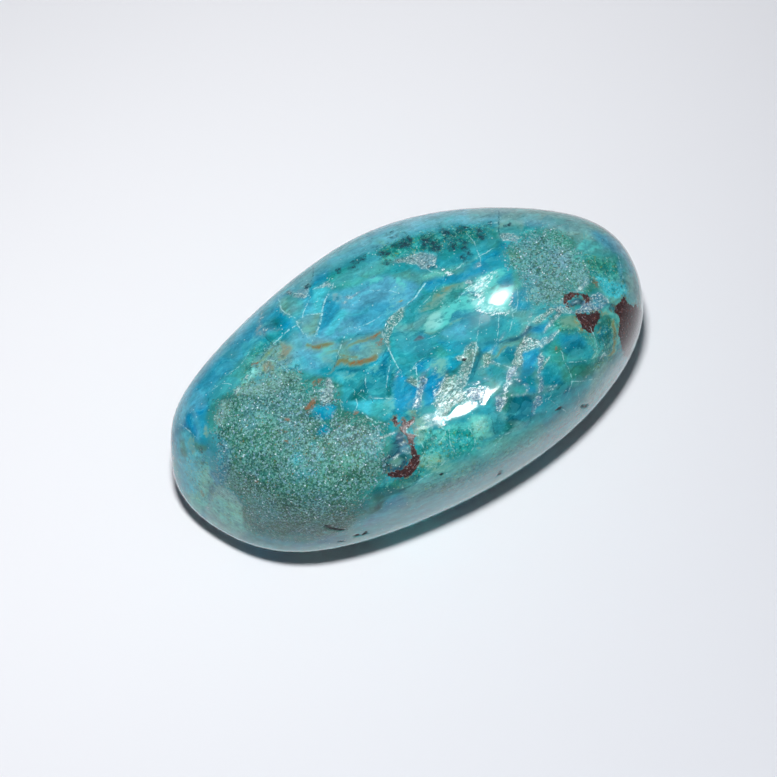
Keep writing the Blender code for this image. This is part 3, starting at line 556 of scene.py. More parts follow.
# broad changes of tone in the grains: mineral, softness, strength, outline
druseTones = [
    ("druseGreen", 0.6, 0.95, [(-24.4, -4), (-16, 0), (-9, -1.6), (-8, -5), (-3, -6.4), (-3, -13), (-6.4, -16.6),
                               (-7.4, -19.4), (-13, -21), (-20, -19.8), (-21, -16), (-24, -13), (-25, -8)]),
    ("dusk", 1.4, 0.4, [(-20, -3.6), (-16, -2.4), (-14, -3), (-13, -4), (-15, -6), (-18, -7), (-21, -7.4)]),
    ("greyMint", 0.7, 0.8, [(-23.8, -4.6), (-22.8, -3.6), (-22.6, -5.4), (-23.2, -7), (-24, -6.6)]),
    ("greyMint", 1.2, 0.7, [(-21.6, -2.8), (-20, -1.4), (-17, -0.6), (-15.4, -0.6), (-16, -2), (-19.4, -3.2)]),
    ("greenHaze", 1.2, 0.5, [(-19, -5.6), (-17, -5.4), (-16.4, -7), (-18, -8)]),
    ("brownGrey", 0.9, 0.55, [(-17.4, -0.4), (-14, -0.2), (-13.4, -1.6), (-16, -2.2)]),
    ("dusk", 1.2, 0.35, [(-14.6, -5), (-12.8, -5.4), (-12.4, -8), (-13.6, -10), (-15.4, -9.6), (-16, -7)]),
    ("blueGrey", 0.8, 0.6, [(-25, -8), (-22.6, -9), (-22.2, -12.6), (-23.6, -14)]),
    ("mossDark", 1.4, 0.55, [(-20, -11), (-17, -10), (-15, -13), (-18, -15.4), (-20.6, -15)]),
    ("emerald", 0.8, 0.35, [(-18.6, -12.8), (-17, -12.6), (-17, -14), (-18.4, -14)]),
    ("cyan", 0.6, 0.6, [(-14.9, -10.5), (-13.6, -10.3), (-13.2, -11.3), (-14.4, -11.9)]),
    ("teal", 0.8, 0.5, [(-14.4, -12.6), (-12, -12), (-11.6, -13), (-14, -13.6)]),
    ("cyan", 0.5, 0.5, [(-12.6, -8.6), (-11.6, -9), (-10.6, -11), (-11.2, -11.4), (-12, -10.2)]),
    ("mossDark", 1.8, 0.7, [(-19.6, -17), (-14, -15.2), (-9, -16), (-7, -17.6), (-9, -20), (-14, -20.8),
                            (-19.4, -19.6)]),
    ("teal", 1.2, 0.4, [(-19.6, -16), (-17, -16.4), (-16, -18.4), (-18.6, -19)]),
    ("dusk", 1.0, 0.25, [(-12, -15.6), (-10, -15), (-10, -17), (-12, -17.4)]),
    ("mossDark", 1.2, 0.6, [(-10.4, -7.2), (-6, -6.8), (-3.4, -7.6), (-3.6, -9.6), (-8, -9.6)]),
    ("mossDark", 1.0, 0.45, [(-14, -4.6), (-10.4, -4.8), (-10, -7), (-13, -7.4)]),
    ("dusk", 1.0, 0.3, [(-9.6, -8), (-7, -7), (-5, -8), (-6, -10), (-8.6, -10.6)]),
    ("teal", 0.9, 0.5, [(-5.6, -8), (-3.8, -7.4), (-3.4, -9.6), (-4.8, -11.4), (-6.4, -10.4)]),
    ("greenHaze", 1.0, 0.4, [(-8, -10), (-6, -9.8), (-6, -12), (-8.4, -12.6)]),
    ("oliveGrey", 0.5, 0.6, [(-12, -9.6), (-11.2, -9.2), (-11.4, -10.8), (-12.2, -11.8)]),
    # the far patch is paler and finer
    ("druseMist", 1.0, 0.95, [(11.8, 14.6), (13.4, 16.4), (16, 17.4), (20, 16.4), (20.8, 14.4), (22.2, 12),
                              (21.6, 10), (19.4, 9.8), (18.8, 8.4), (15.5, 7.8), (14.4, 8.8), (14, 11),
                              (12.4, 13)]),
    ("greenHaze", 1.2, 0.6, [(12.4, 14.4), (15.4, 15.6), (17.6, 17), (20.4, 15.8), (17, 14.6), (15, 13), (13.8, 12)]),
    ("duskPale", 1.0, 0.6, [(17.8, 14.8), (19.6, 14.6), (19.6, 13), (18, 13)]),
    ("dusk", 1.4, 0.5, [(13.4, 15.6), (17, 16.6), (19.6, 13), (18, 9), (15.6, 8.4), (13.6, 10.6)]),
    ("druseGreen", 1.0, 0.35, [(16.4, 12.6), (19.4, 12.4), (19.6, 9.8), (17, 9.4)]),
    ("duskPale", 0.8, 0.4, [(20.4, 12.4), (22, 12), (22.2, 10.8), (20.8, 10.6)]),
]

# glassy crystal fillings with an outline of their own: colour, outline
crystalPatches = [
    ("veinGreen", [(-0.6, 7.6), (-1.7, 7.2), (-2.6, 6.4), (-3.1, 5.4), (-3.4, 4.6), (-3.3, 4), (-2.8, 3), (-2.5, 3.6),
                   (-2.3, 4.4), (-2, 5.2), (-1.2, 6.2)]),
    ("veinGreen", [(-0.6, -0.9), (0.3, -0.8), (0.9, -1.5), (0.6, -2), (0.1, -1.8)]),
    ("veinSlate", [(1.6, -0.4), (2.1, -0.9), (1.8, -2), (1.4, -3), (1.3, -4.4), (0.3, -4.5), (0.6, -3.6), (1, -2.4),
                   (1.1, -1.2)]),
    ("veinGreen", [(3.1, -3), (3.7, -2.4), (4.2, -1.2), (4.4, -0.4), (4.8, -0.8), (5.9, -0.7), (6.6, -2), (6.4, -3.8),
                   (5, -4.4), (4.6, -5.4), (3.6, -6), (3.2, -4.6)]),
    ("veinGreen", [(5.9, -0.4), (6.3, 1), (6.9, 2.8), (7.4, 3.3), (8.2, 3.5), (8.1, 2.2), (7.6, 0.4), (7.1, -1.2),
                   (6.6, -2.2), (6, -2)]),
    ("veinSlate", [(7, -2.4), (8.4, -2.2), (9, -2.5), (9.2, -3.8), (8.9, -4.6), (8.5, -3.8), (7.4, -3.8)]),
    ("veinGreen", [(5.4, 1.4), (6.2, 1.8), (6.4, 1.1), (5.8, 1.1)]),
    ("veinGreen", [(8.9, 1.6), (9.3, 2.2), (9.9, 2.2), (10.1, 1.8), (9.7, 0.4), (9.3, 0.3), (9.1, 1)]),
    ("veinGreen", [(13.5, 3.2), (14.4, 4.1), (15, 3.9), (16.1, 3.4), (15.8, 2.9), (14.6, 2.4), (13.9, 2), (13.9, 1),
                   (13.4, 0.2), (12.7, 0.4), (13, 2)]),
    ("veinSlate", [(12.7, 0.4), (13.3, 0.2), (12.9, -0.6), (12.4, -1.4), (11.9, -1.6), (12.1, -0.4)]),
    ("veinSlate", [(10.6, -3.2), (11.3, -3), (11.6, -4), (11, -4.9), (10.7, -4.6)]),
    ("veinSlate", [(15.9, 1.9), (16.6, 1.6), (16.4, 0.6), (16.1, -0.2), (15.7, -0.9), (15.5, -1.2), (15.7, -0.2),
                   (15.9, 0.8)]),
    ("veinGreen", [(17.5, 2), (16.9, 0.9), (16.2, 0.1), (16.3, 0.5), (16.9, 1.4)]),
    ("veinSlate", [(16, -0.8), (16.3, -1.2), (16.4, -2.4), (16, -2.8), (15.7, -2.4), (15.8, -1.4)]),
    ("veinSlate", [(15.4, -3.2), (16.2, -3.3), (16.2, -4.2), (15.6, -4.6), (15.3, -5.6), (15, -5.2), (15.1, -4.2)]),
    ("veinGreen", [(15, 5.8), (15.5, 6.4), (16.4, 7), (17.4, 7.7), (18.2, 7.5), (17, 6.6), (16.4, 6), (15.8, 5.7)]),
    ("veinSlate", [(19.6, 7.2), (20.9, 7.4), (21.6, 8.4), (22.4, 9.2), (23.4, 9.7), (24.5, 9), (24.2, 8.2), (23.2, 7.4),
                   (22, 7), (20.4, 6.9)]),
    ("veinPale", [(-2.2, 13.3), (-1, 14), (0.8, 14.4), (2.4, 14.4), (3.3, 13.8), (2.4, 12.6), (0.8, 12.9),
                  (-0.6, 13.3)]),
    ("veinPale", [(-15.2, 9.8), (-14.6, 10), (-13.6, 9.6), (-12.8, 9.7), (-12.6, 9.2), (-13.6, 9), (-14.8, 9.4)]),
    ("veinPale", [(11.3, 16.8), (12, 17.1), (13.4, 16.6), (13.2, 15.9), (12.2, 16), (11.5, 16.2)]),
    ("veinPale", [(6.8, 11), (7.2, 11.3), (7.6, 10.9), (7.1, 10.6)]),
    ("veinPale", [(8, 12.6), (8.4, 13.2), (9, 13.2), (8.8, 12.8)]),
    ("veinPale", [(-10.4, -1), (-9.9, -1), (-9.7, -2.2), (-9.8, -3.4), (-10.4, -4.4), (-11.2, -4), (-11, -3),
                  (-10.4, -2.4)]),
]
# thin crystal threads: across, up and half-width at each corner
crystalVeins = [
    [(-3.4, 4.6, 0.1), (-3, 3.8, 0.12), (-2.7, 3, 0.1), (-2.8, 2.4, 0.05)],
    [(1.8, -0.3, 0.1), (2.2, 0.1, 0.1), (2.6, 0.5, 0.05)],
    [(2.8, -0.5, 0.05), (3.2, 0.2, 0.12), (3.6, 0.9, 0.06)],
    [(0.2, -4.6, 0.05), (0.6, -3.7, 0.1), (1, -2.2, 0.1), (1.2, -0.9, 0.08), (1.6, -0.2, 0.05)],
    [(3.1, -3, 0.1), (3.7, -2.4, 0.12), (4.1, -1.2, 0.1), (4.4, -0.2, 0.05)],
    [(9.8, 2.1, 0.1), (10.3, 2.5, 0.12), (10.6, 3, 0.05)],
    [(10.9, 3.6, 0.05), (11.4, 4.2, 0.15), (11.8, 4.7, 0.08)],
    [(8.5, 0.3, 0.1), (8.8, 0.3, 0.1)],
    [(10, 1, 0.05), (11, 0.7, 0.07), (12, 0.4, 0.1), (12.4, 0.2, 0.1)],
    [(9.2, -1.1, 0.12), (9.8, -1.3, 0.12), (10.3, -1.4, 0.1), (10.6, -1.8, 0.05)],
    [(7, -1.9, 0.08), (7.6, -1.7, 0.1), (8.6, -1.5, 0.12)],
    [(14.9, 7.1, 0.08), (14.7, 6, 0.14), (14.4, 5, 0.12), (14.1, 4.2, 0.12)],
    [(12.8, -0.2, 0.1), (13.2, -0.8, 0.16), (13.7, -1.6, 0.06)],
    [(12.6, -1.5, 0.1), (11.8, -1.9, 0.16), (11.6, -2.8, 0.14), (11.8, -3.8, 0.12), (11.4, -4.6, 0.12),
     (10.8, -5.1, 0.06)],
    [(13.7, -1.7, 0.06), (14.4, -2, 0.08), (14.4, -2.8, 0.08), (13.8, -3.1, 0.08), (12.8, -3, 0.06), (12.3, -3.2, 0.05)],
    [(18.6, 7.2, 0.3), (17.9, 6.4, 0.25), (17.2, 5.5, 0.22), (16.6, 4.4, 0.12), (16.2, 3.4, 0.1), (16.1, 2.4, 0.1),
     (16, 1.8, 0.1)],
    [(16.1, 3, 0.14), (17, 3.6, 0.25), (17.8, 4.4, 0.18), (18.6, 5, 0.06)],
    [(18.2, 7.6, 0.3), (19, 7.6, 0.4), (19.8, 7.3, 0.35)],
    [(20.2, 8.3, 0.08), (20.6, 8.5, 0.12), (21.2, 8.4, 0.08)],
    [(20, 9.6, 0.1), (20.8, 10, 0.2), (21.6, 10.6, 0.2), (22, 11.4, 0.1)],
    [(-18.4, 7.6, 0.1), (-18.2, 6.8, 0.12), (-18.7, 5.9, 0.12), (-18.2, 5.4, 0.1), (-18, 4.6, 0.12),
     (-17.8, 4.1, 0.05)],
    [(-18.1, 5.1, 0.06), (-17.2, 5, 0.08), (-16.6, 4.9, 0.1), (-15.9, 5.1, 0.06)],
    [(-8.4, 7.7, 0.05), (-7.9, 8.7, 0.1), (-7.2, 9, 0.12), (-6.4, 9.5, 0.08)],
    [(-7.9, 9.3, 0.05), (-7.5, 9.1, 0.1), (-7.2, 9, 0.1)],
    [(-11.4, 10.1, 0.06), (-10.4, 10.5, 0.14), (-10.4, 10.9, 0.1), (-9.8, 10.4, 0.18), (-9.6, 10.1, 0.1)],
    [(-5.1, -3, 0.06), (-4.8, -3.4, 0.16), (-4.3, -3.7, 0.12)],
    [(-10, -1.6, 0.1), (-9.8, -2.4, 0.16), (-9.2, -2.6, 0.08)],
    [(-11.8, -2.6, 0.1), (-10.8, -2.5, 0.16), (-9.8, -2.5, 0.08)],
    [(-20.6, -1.2, 0.06), (-20.1, -0.7, 0.14), (-19.9, -0.2, 0.05)],
    [(-21.8, -3, 0.06), (-21.4, -2.6, 0.12), (-20.8, -2, 0.05)],
    [(-1.4, 0, 0.06), (-1.7, -0.8, 0.08), (-1.9, -1.4, 0.05)],
    [(-4, -8.6, 0.08), (-3, -8.2, 0.16), (-1.9, -7.8, 0.1)],
    [(-1.9, -7.9, 0.06), (-1.4, -8.8, 0.12), (-0.9, -9.8, 0.12), (-0.1, -10.3, 0.1)],
    [(-1.1, -8, 0.06), (-0.7, -8.9, 0.12), (-0.4, -9.6, 0.12), (-0.3, -10.2, 0.06)],
    [(-1.3, -10.3, 0.1), (-1.8, -10.8, 0.14), (-2.5, -11, 0.08)],
    [(0.6, -8, 0.05), (1.4, -8.1, 0.08), (2.2, -8.4, 0.08), (3, -8.5, 0.05)],
    [(0.7, -7.3, 0.08), (1.4, -7.1, 0.1), (2.2, -6.9, 0.08), (3, -6.6, 0.06)],
    [(1.6, -5.9, 0.1), (2.2, -5.6, 0.14), (2.9, -5.4, 0.1)],
    [(23.6, 1.6, 0.12), (24.1, 1.9, 0.2)],
    [(16.6, -2.1, 0.04), (17.4, -2, 0.07), (18.1, -1.8, 0.06)], [(18.1, -1.8, 0.05), (17.5, -2.5, 0.07),
                                                                (16.8, -2.5, 0.05)],
    [(-25, -16.8, 0.06), (-24.8, -17.2, 0.1)],
]
# where crystals round the two gleams lie loose enough to sparkle, with pale glints painted into their colour as well
sparklePatches = [
    [(6.6, 9.9), (8, 11), (9.6, 11.9), (11, 12.2), (10.4, 11), (9.6, 10), (9.4, 8.6), (11, 8), (12.3, 8.1), (12.2, 7),
     (9.2, 6.9), (7.9, 7.6), (8.2, 8.8)],
    [(3, -1.8), (4.6, -1.4), (6.4, -1.6), (7, -2.2), (8.8, -2), (9.4, -2.4), (8.4, -2.4), (8.4, -3.4),
     (7.6, -3.9), (5.4, -4.3), (4.4, -4.9), (3, -4.6)],
    [(1.4, -6), (3, -5.2), (4, -5.6), (4.8, -6.2), (4.4, -6.9), (3.2, -6.6)],
]

# finely mottled ground
mottledPatches = [
    [(-28, -10.4), (-25.6, -9.8), (-24, -13), (-21, -16), (-18.6, -19.6), (-20.6, -20.6), (-24, -18), (-27, -15)],
    [(1, -7), (4, -7.2), (7, -7), (9, -6.4), (9.6, -8), (8.4, -9.4), (5.6, -10.6), (3, -12.6), (-2, -15), (-4, -14.6), (0.6, -12)],
    [(17.4, 6), (19, 6.6), (20.4, 5.2), (22.6, 4.4), (24, 6.4), (25.4, 7), (26, 4), (24.4, 0.6), (21, -1.2), (22.4, 1.4),
     (21.6, 4), (19, 4.8)],
    [(1, -14), (8, -11.4), (15, -8), (20, -4.6), (24, -1), (25.4, -1.6), (20, -7), (13, -11.6), (5, -15.4)],
    [(20.6, 14.4), (24, 14.4), (26.6, 12.4), (27, 9.4), (24.4, 9), (22, 10.6), (21.4, 12.4)],
    [(-4, 15.8), (2, 17.6), (9, 18.4), (9.6, 16.4), (3, 14.4), (-3, 13.2)],
    [(-19.6, 2.6), (-16.8, 3.6), (-13.6, 1), (-14.6, -0.4), (-18.6, -1.4), (-21, -2)],
]

# orange-brown iron spots: across, up and half-width at each corner
rustSpots = [
    [(-19.7, 0.6, 0.12), (-19.1, 0.9, 0.15)],
    [(-7.4, 0.8, 0.1), (-6.8, 1, 0.22), (-5.8, 1.2, 0.16), (-4.7, 1.6, 0.18)],
    [(-4.2, 3, 0.1), (-3.7, 3.3, 0.28), (-3.5, 3.8, 0.15)],
    [(-5.2, 3.9, 0.1), (-4.4, 4.1, 0.18), (-3.8, 4.5, 0.1)],
    [(-12.2, 2.7, 0.12), (-11, 2.8, 0.15)],
    [(-12.1, -1.8, 0.15), (-11.6, -1.5, 0.32), (-11, -1.3, 0.15)],
    [(-12.8, -4.6, 0.25), (-12.2, -4.1, 0.36), (-11.9, -3.6, 0.25)],
    [(-15.5, -6.2, 0.15), (-15, -6.4, 0.2)],
    [(-7, -5.1, 0.18), (-6.9, -5.3, 0.18)],
    [(-19.4, -13.8, 0.12), (-19.1, -13.9, 0.15)],
    [(18, 2.7, 0.1), (18.3, 2.5, 0.2), (18.6, 2.5, 0.08)],
    [(22.6, 11.3, 0.15), (23, 10.9, 0.28), (23.3, 10.5, 0.15)],
    [(-15.4, -6, 0.1), (-15, -6.4, 0.16)],
    [(-15.9, -7.4, 0.1), (-15.4, -7.8, 0.14)],
    [(-14.4, -6.9, 0.08), (-14.1, -7.3, 0.12)],
    [(-15.6, -8.7, 0.08), (-15.3, -9, 0.1)],
]

# quartz rims round the gleams, painted white as glints of the panels
paintedGlintRims = [
    [(2.8, -4.2, 0.1), (3.5, -4.4, 0.2), (4.4, -4.2, 0.16), (4.6, -3.8, 0.06)],
    [(3, -3.6, 0.08), (3.2, -2.9, 0.14), (3.9, -2.7, 0.1), (4.4, -2.9, 0.05)],
    [(4.7, -3.6, 0.08), (5.4, -3.9, 0.18), (6.2, -3.6, 0.16), (6.6, -2.9, 0.08)],
    [(6.8, -2.6, 0.08), (7.4, -3.3, 0.18), (7.9, -3, 0.16), (8.4, -2.7, 0.08)],
    [(8.7, -2.1, 0.1), (8.8, -3, 0.3), (9.2, -3.6, 0.36), (9.6, -2.8, 0.2), (9.4, -2.2, 0.1)],
    [(3, -5, 0.1), (3.4, -5.6, 0.2), (3.9, -6.3, 0.16), (4.4, -6.7, 0.1)], 
    [(0.2, -4.4, 0.08), (0.6, -4.1, 0.14), (0.9, -3.7, 0.06)], [(11, -4.9, 0.14), (11.5, -4.2, 0.12), (11.8, -3, 0.1)],
    [(12.9, -0.7, 0.08), (13.4, -1.1, 0.16), (13.7, -1.4, 0.06)],
    [(7.2, -1.9, 0.05), (8, -1.7, 0.08), (8.6, -1.5, 0.12)], [(11.7, -2, 0.08), (11.8, -2.8, 0.14), (11.6, -3.3, 0.06)],
    [(8, 7.6, 0.06), (9, 7.2, 0.16), (10.4, 7, 0.2), (11.6, 7, 0.14), (12.2, 7.4, 0.06)],
    [(6.8, 9.8, 0.04), (8.4, 10.8, 0.1), (10.4, 12.1, 0.04)], [(7.2, 9.4, 0.05), (8.6, 10.3, 0.14), (10, 11.3, 0.05)],
    [(7.6, 8.8, 0.06), (8.8, 9.6, 0.14), (9.6, 10.4, 0.08)], [(8.2, 8, 0.1), (8.8, 8.6, 0.24), (9.2, 9.2, 0.12)],
    [(12.2, 7.6, 0.06), (12.5, 8.6, 0.12), (12.4, 9.6, 0.06)], [(2.8, 13.1, 0.04), (4.9, 12, 0.12), (5.2, 12.1, 0.05)],
]

# rust-red cuprite, as outlines and as strokes
cupritePatches = [
    [(20.4, 6.7), (21.4, 6.9), (22.6, 6.9), (23.3, 7.1), (23.4, 6.4), (22.9, 5.4), (22.5, 4.8), (21.8, 4.7), (21.1, 5.5)],
    [(25.1, 7.4), (25.8, 8.3), (26.3, 8.8), (26.6, 8.4), (27.4, 8.1), (28.6, 7.6), (28.6, 5.6), (27.8, 3.6),
     (26.9, 1.9), (26.5, 2.3), (26.2, 3.2), (26, 4.6), (25.8, 5.9), (25.7, 6.6)],
]
cupriteStrokes = [
    [(19.5, 7.7, 0.16), (19.3, 8.4, 0.3), (19.5, 9, 0.36), (20, 9.4, 0.3), (20.7, 9.5, 0.24), (21.4, 9.3, 0.3),
     (21.9, 8.8, 0.26), (21.9, 8.3, 0.16)],
    [(20.1, 8, 0.08), (20.2, 8.7, 0.22), (20.7, 8.9, 0.2)],
    [(-0.9, -6.4, 0.3), (-0.8, -7.5, 0.32), (-0.3, -8.1, 0.4), (0.1, -9, 0.42), (0.4, -10, 0.42), (0.6, -10.8, 0.48),
     (0.4, -11.6, 0.56), (-0.3, -12.5, 0.62), (-1.3, -12.9, 0.58), (-2.6, -13, 0.34)],
    [(0.5, -7.6, 0.1), (0.4, -8.4, 0.2)],
    [(-2, -6, 0.15), (-1.9, -6.6, 0.22), (-1.8, -6.9, 0.1)],
    [(0.2, -5.6, 0.2), (0.4, -6, 0.26), (0, -6.5, 0.24), (-0.4, -7, 0.2)],
]

# black copper-oxide ferns and smears: across, up and half-width at each corner
tenoriteSmears = [
    [(-9, 12.5, 0.2), (-8.9, 12.2, 0.3)], [(-7.4, 13.2, 0.15), (-7, 12.8, 0.35), (-6.4, 12.6, 0.25)],
    [(-7.2, 13.3, 0.25), (-5.6, 13.9, 0.2), (-5.2, 14.3, 0.15)], [(-3.6, 14.4, 0.3), (-2.8, 14.3, 0.35)],
    [(-2.7, 13.3, 0.3), (-2.3, 13.3, 0.15)], [(-2.9, 16.8, 0.15), (-2, 16.9, 0.25)],
    [(-1.6, 15.4, 0.3), (-0.8, 15.7, 0.5), (-0.2, 15.6, 0.3)], [(-0.3, 16.6, 0.15), (0.1, 16, 0.25)],
    [(1.6, 16.5, 0.2), (1.7, 15.9, 0.32), (1.6, 15.2, 0.28)], [(2.3, 15.9, 0.3), (3, 15.7, 0.5), (3.4, 15, 0.4)],
    [(2.1, 15.2, 0.2), (2.8, 14.9, 0.3)], [(3.6, 17.5, 0.1), (4.8, 17.1, 0.25), (5.8, 16.8, 0.22)],
    [(5.8, 17.3, 0.15), (6.6, 17.4, 0.22), (7.2, 17.5, 0.1)], [(4.6, 16.3, 0.3), (5.2, 15.8, 0.5), (5.5, 15, 0.4)],
    [(5.9, 16.1, 0.15), (6.4, 15.9, 0.25), (6.9, 15.6, 0.2)], [(6.2, 15.1, 0.2), (6.9, 14.8, 0.3), (7.4, 14.3, 0.15)],
    [(7.9, 17.4, 0.15), (8.6, 16.9, 0.4), (9, 16.2, 0.2)], [(6.4, 14, 0.2), (6.8, 13.6, 0.2)],
    [(2.4, 12.8, 0.15), (2.8, 12.7, 0.25), (3.1, 12.6, 0.1)], [(12, 18, 0.1), (12.4, 18.2, 0.12)],
    [(-13, 10.4, 0.15), (-12.5, 10.4, 0.22), (-12.2, 10.6, 0.1)], [(-15, 9.7, 0.15), (-14.6, 9.6, 0.15)],
    [(-2.2, -10, 0.1), (-2.6, -10.8, 0.2), (-3.4, -11.8, 0.25), (-3.2, -12.6, 0.2)], [(-4.4, -12.2, 0.15), (-4, -11.6, 0.1)],
    [(-26.2, -9.4, 0.1), (-25.8, -9.8, 0.15)], [(25, 7.9, 0.2), (25.2, 7.3, 0.2)], [(9.3, 18, 0.1), (9.8, 18.1, 0.15)],
    [(14, 3, 0.15), (14.3, 3.4, 0.1)], [(20.4, 9, 0.1), (20.9, 9.2, 0.2), (21.5, 9, 0.1)],
    [(19, 7, 0.1), (18.4, 7.4, 0.15)], [(-0.6, -11.4, 0.15), (-1.4, -12.2, 0.2)], [(8, -3.2, 0.12), (8.1, -3.3, 0.12)],
]

# fine lines: half-width in mm, strength, corners; two pale sets, so that neighbours never share one, and a dark set
hairlinesA = [
    (0.06, 0.9, [(-16.9, 3.2), (-15.6, 4.4), (-15, 5), (-14.3, 5.4)]), (0.06, 0.9, [(-8.9, 2.1), (-8.5, 3.2), (-8, 4.4)]),
    (0.09, 1.0, [(-9.6, 10.3), (-10.1, 9.4), (-10.7, 8), (-10.9, 6.9), (-11.2, 5.6), (-11.8, 4.2)]),
    (0.07, 1.0, [(-0.3, 8.2), (0.6, 9), (1.4, 10.1), (2.2, 11.1)]), (0.05, 0.8, [(11, 6.9), (10.9, 5.4), (10.7, 3.6)]),
    (0.05, 0.9, [(2.7, 4.1), (3.1, 4.3), (3.6, 4.6)]), (0.06, 0.9, [(-2.8, 2.9), (-2.2, 1.6), (-1.4, 0.2)]),
    (0.06, 0.9, [(-5.7, -2.8), (-4.6, -3.5), (-3.4, -3.5), (-2.2, -3.6)]),
    (0.05, 0.8, [(18.8, 1.9), (19.1, 1), (19.8, -0.4), (20, -1.4), (19.6, -2.6)]),
    (0.06, 0.7, [(-28.2, -6.8), (-27.4, -7.4), (-26.8, -8)]),
    (0.05, 0.8, [(22.4, 5), (22.8, 4), (23.1, 2.8), (22.8, 1.8), (21.8, 1.1)]),
    (0.07, 0.9, [(4.6, 11.6), (5, 12.1), (6.2, 12.9)]), (0.05, 0.7, [(16.6, -3.2), (18, -4.2), (19.2, -5)]),
    (0.06, 0.9, [(-13, 10), (-12.4, 9), (-13, 7.6), (-13.2, 7)]), (0.07, 0.8, [(14.2, 2.2), (15.4, 2.8), (16, 3.2)]),
    (0.06, 0.9, [(8.2, 3.5), (8, 2.2), (7.6, 0.4), (7.1, -1.2), (6.8, -1.9)]), (0.04, 0.7, [(-20.4, -2), (-19.6, -0.6)]),
    (0.05, 0.6, [(-22.4, -0.4), (-21, 0.6), (-20, 2)]), (0.05, 0.6, [(-6.2, 5.4), (-5, 5.9), (-3.8, 6.6)]),
    (0.05, 0.7, [(-6.9, -3), (-6.6, -4.4), (-7.2, -5.4)]), (0.05, 0.7, [(7.2, 16.7), (8, 15.8), (8.3, 14.8), (8.6, 14)]),
    (0.05, 0.6, [(1.6, 13.2), (2.6, 12.2), (4, 12)]), (0.05, 0.7, [(-8.7, -5.9), (-8.4, -5), (-8.6, -4.2)]),
    (0.05, 0.6, [(25.8, 14), (26.1, 13), (26.4, 11.6), (26.2, 10.8)]), (0.05, 0.6, [(4.8, -7.4), (4.9, -9), (5.4, -10.1)]),
    (0.04, 0.5, [(20.8, -3), (20.9, -3.9), (20.4, -4.8)]), (0.05, 0.6, [(1.2, -8.8), (1.8, -10), (1.2, -11.2)]),
    (0.05, 0.6, [(2, -12), (3.6, -11.9), (4.4, -11.2)]), (0.04, 0.5, [(10.4, -9.4), (11.4, -8.2), (12.6, -7.6)]),
]
hairlinesB = [
    (0.08, 0.9, [(-16.1, 8.6), (-15.8, 7.5), (-15, 6.9), (-14.1, 6.3), (-13.9, 5.6), (-13.2, 4.6)]),
    (0.06, 0.9, [(-14, 6.1), (-12.9, 6.8), (-11, 7)]), (0.05, 0.7, [(8.6, 6.9), (8.5, 5.6), (8.3, 4.2)]),
    (0.08, 1.0, [(-11.9, 10), (-10.9, 10.4), (-10.3, 10.9)]), (0.07, 0.8, [(-6.2, -5.2), (-5.4, -5.8), (-4.4, -6.3)]),
    (0.05, 0.8, [(19.2, 1), (20.6, 1), (21.6, 1.2)]), (0.05, 0.8, [(20, -1.4), (21.6, -1.3), (23, -1)]),
    (0.06, 0.9, [(0.6, 0.6), (0.8, -0.6), (0.9, -2.2), (0.3, -4.4)]), (0.05, 0.8, [(-5.5, -0.8), (-5.5, -1.8), (-5.3, -2.4)]),
    (0.06, 0.8, [(-2.6, 0.3), (-2.8, -0.8), (-3, -2)]), (0.06, 0.7, [(12.6, 7.6), (12.7, 6.4), (12.4, 5.2)]),
    (0.05, 0.8, [(9.7, 18.1), (10.8, 18.3)]), (0.05, 0.8, [(8.4, 14), (9.2, 14.4), (10, 14.9)]),
    (0.05, 0.7, [(0.2, 0), (0.8, 0.9), (1.2, 1.2)]), (0.06, 0.8, [(9.9, 1.3), (11, 0.8), (12.4, 0.3)]),
    (0.05, 0.8, [(3.2, -3.4), (4.2, -3.2), (5.6, -2.8)]), (0.04, 0.6, [(16.6, -3.7), (17.4, -3.3), (17.3, -2.6)]),
    (0.05, 0.7, [(-2.2, 5), (-1.6, 5.8), (-1, 6.4)]), (0.05, 0.6, [(-4.6, 9.8), (-3, 9.9), (-1.4, 9.6)]),
    (0.05, 0.6, [(1.2, 7.8), (2.2, 8.8), (3, 9.9)]), (0.05, 0.7, [(6, 9), (7, 9.9), (8.6, 11.4)]),
    (0.05, 0.7, [(7.8, 9.9), (9, 10.9), (10.6, 12.2)]), (0.04, 0.6, [(13.2, 9.8), (13.3, 8.6), (13.1, 7.4)]),
    (0.04, 0.6, [(14.4, 9.6), (14.5, 8.4), (14.3, 7.6)]), (0.05, 0.6, [(-24.4, -2.4), (-23, -1.6), (-21.6, -2)]),
    (0.05, 0.7, [(3.8, -7), (4.4, -7.8), (3.6, -8.8)]), (0.05, 0.7, [(7.4, -10.1), (8, -8.9), (7.4, -7.4)]),
    (0.05, 0.6, [(24, 3.4), (24.2, 2.6), (23.6, 1.6)]), (0.05, 0.6, [(0.8, -14), (2, -13), (3.4, -12.6)]),
    (0.05, 0.6, [(-9.7, -6.6), (-10, -7.4), (-11.2, -9.4)]), (0.05, 0.6, [(-17.4, 1.2), (-16.4, 1), (-15.4, 0.2)]),
]
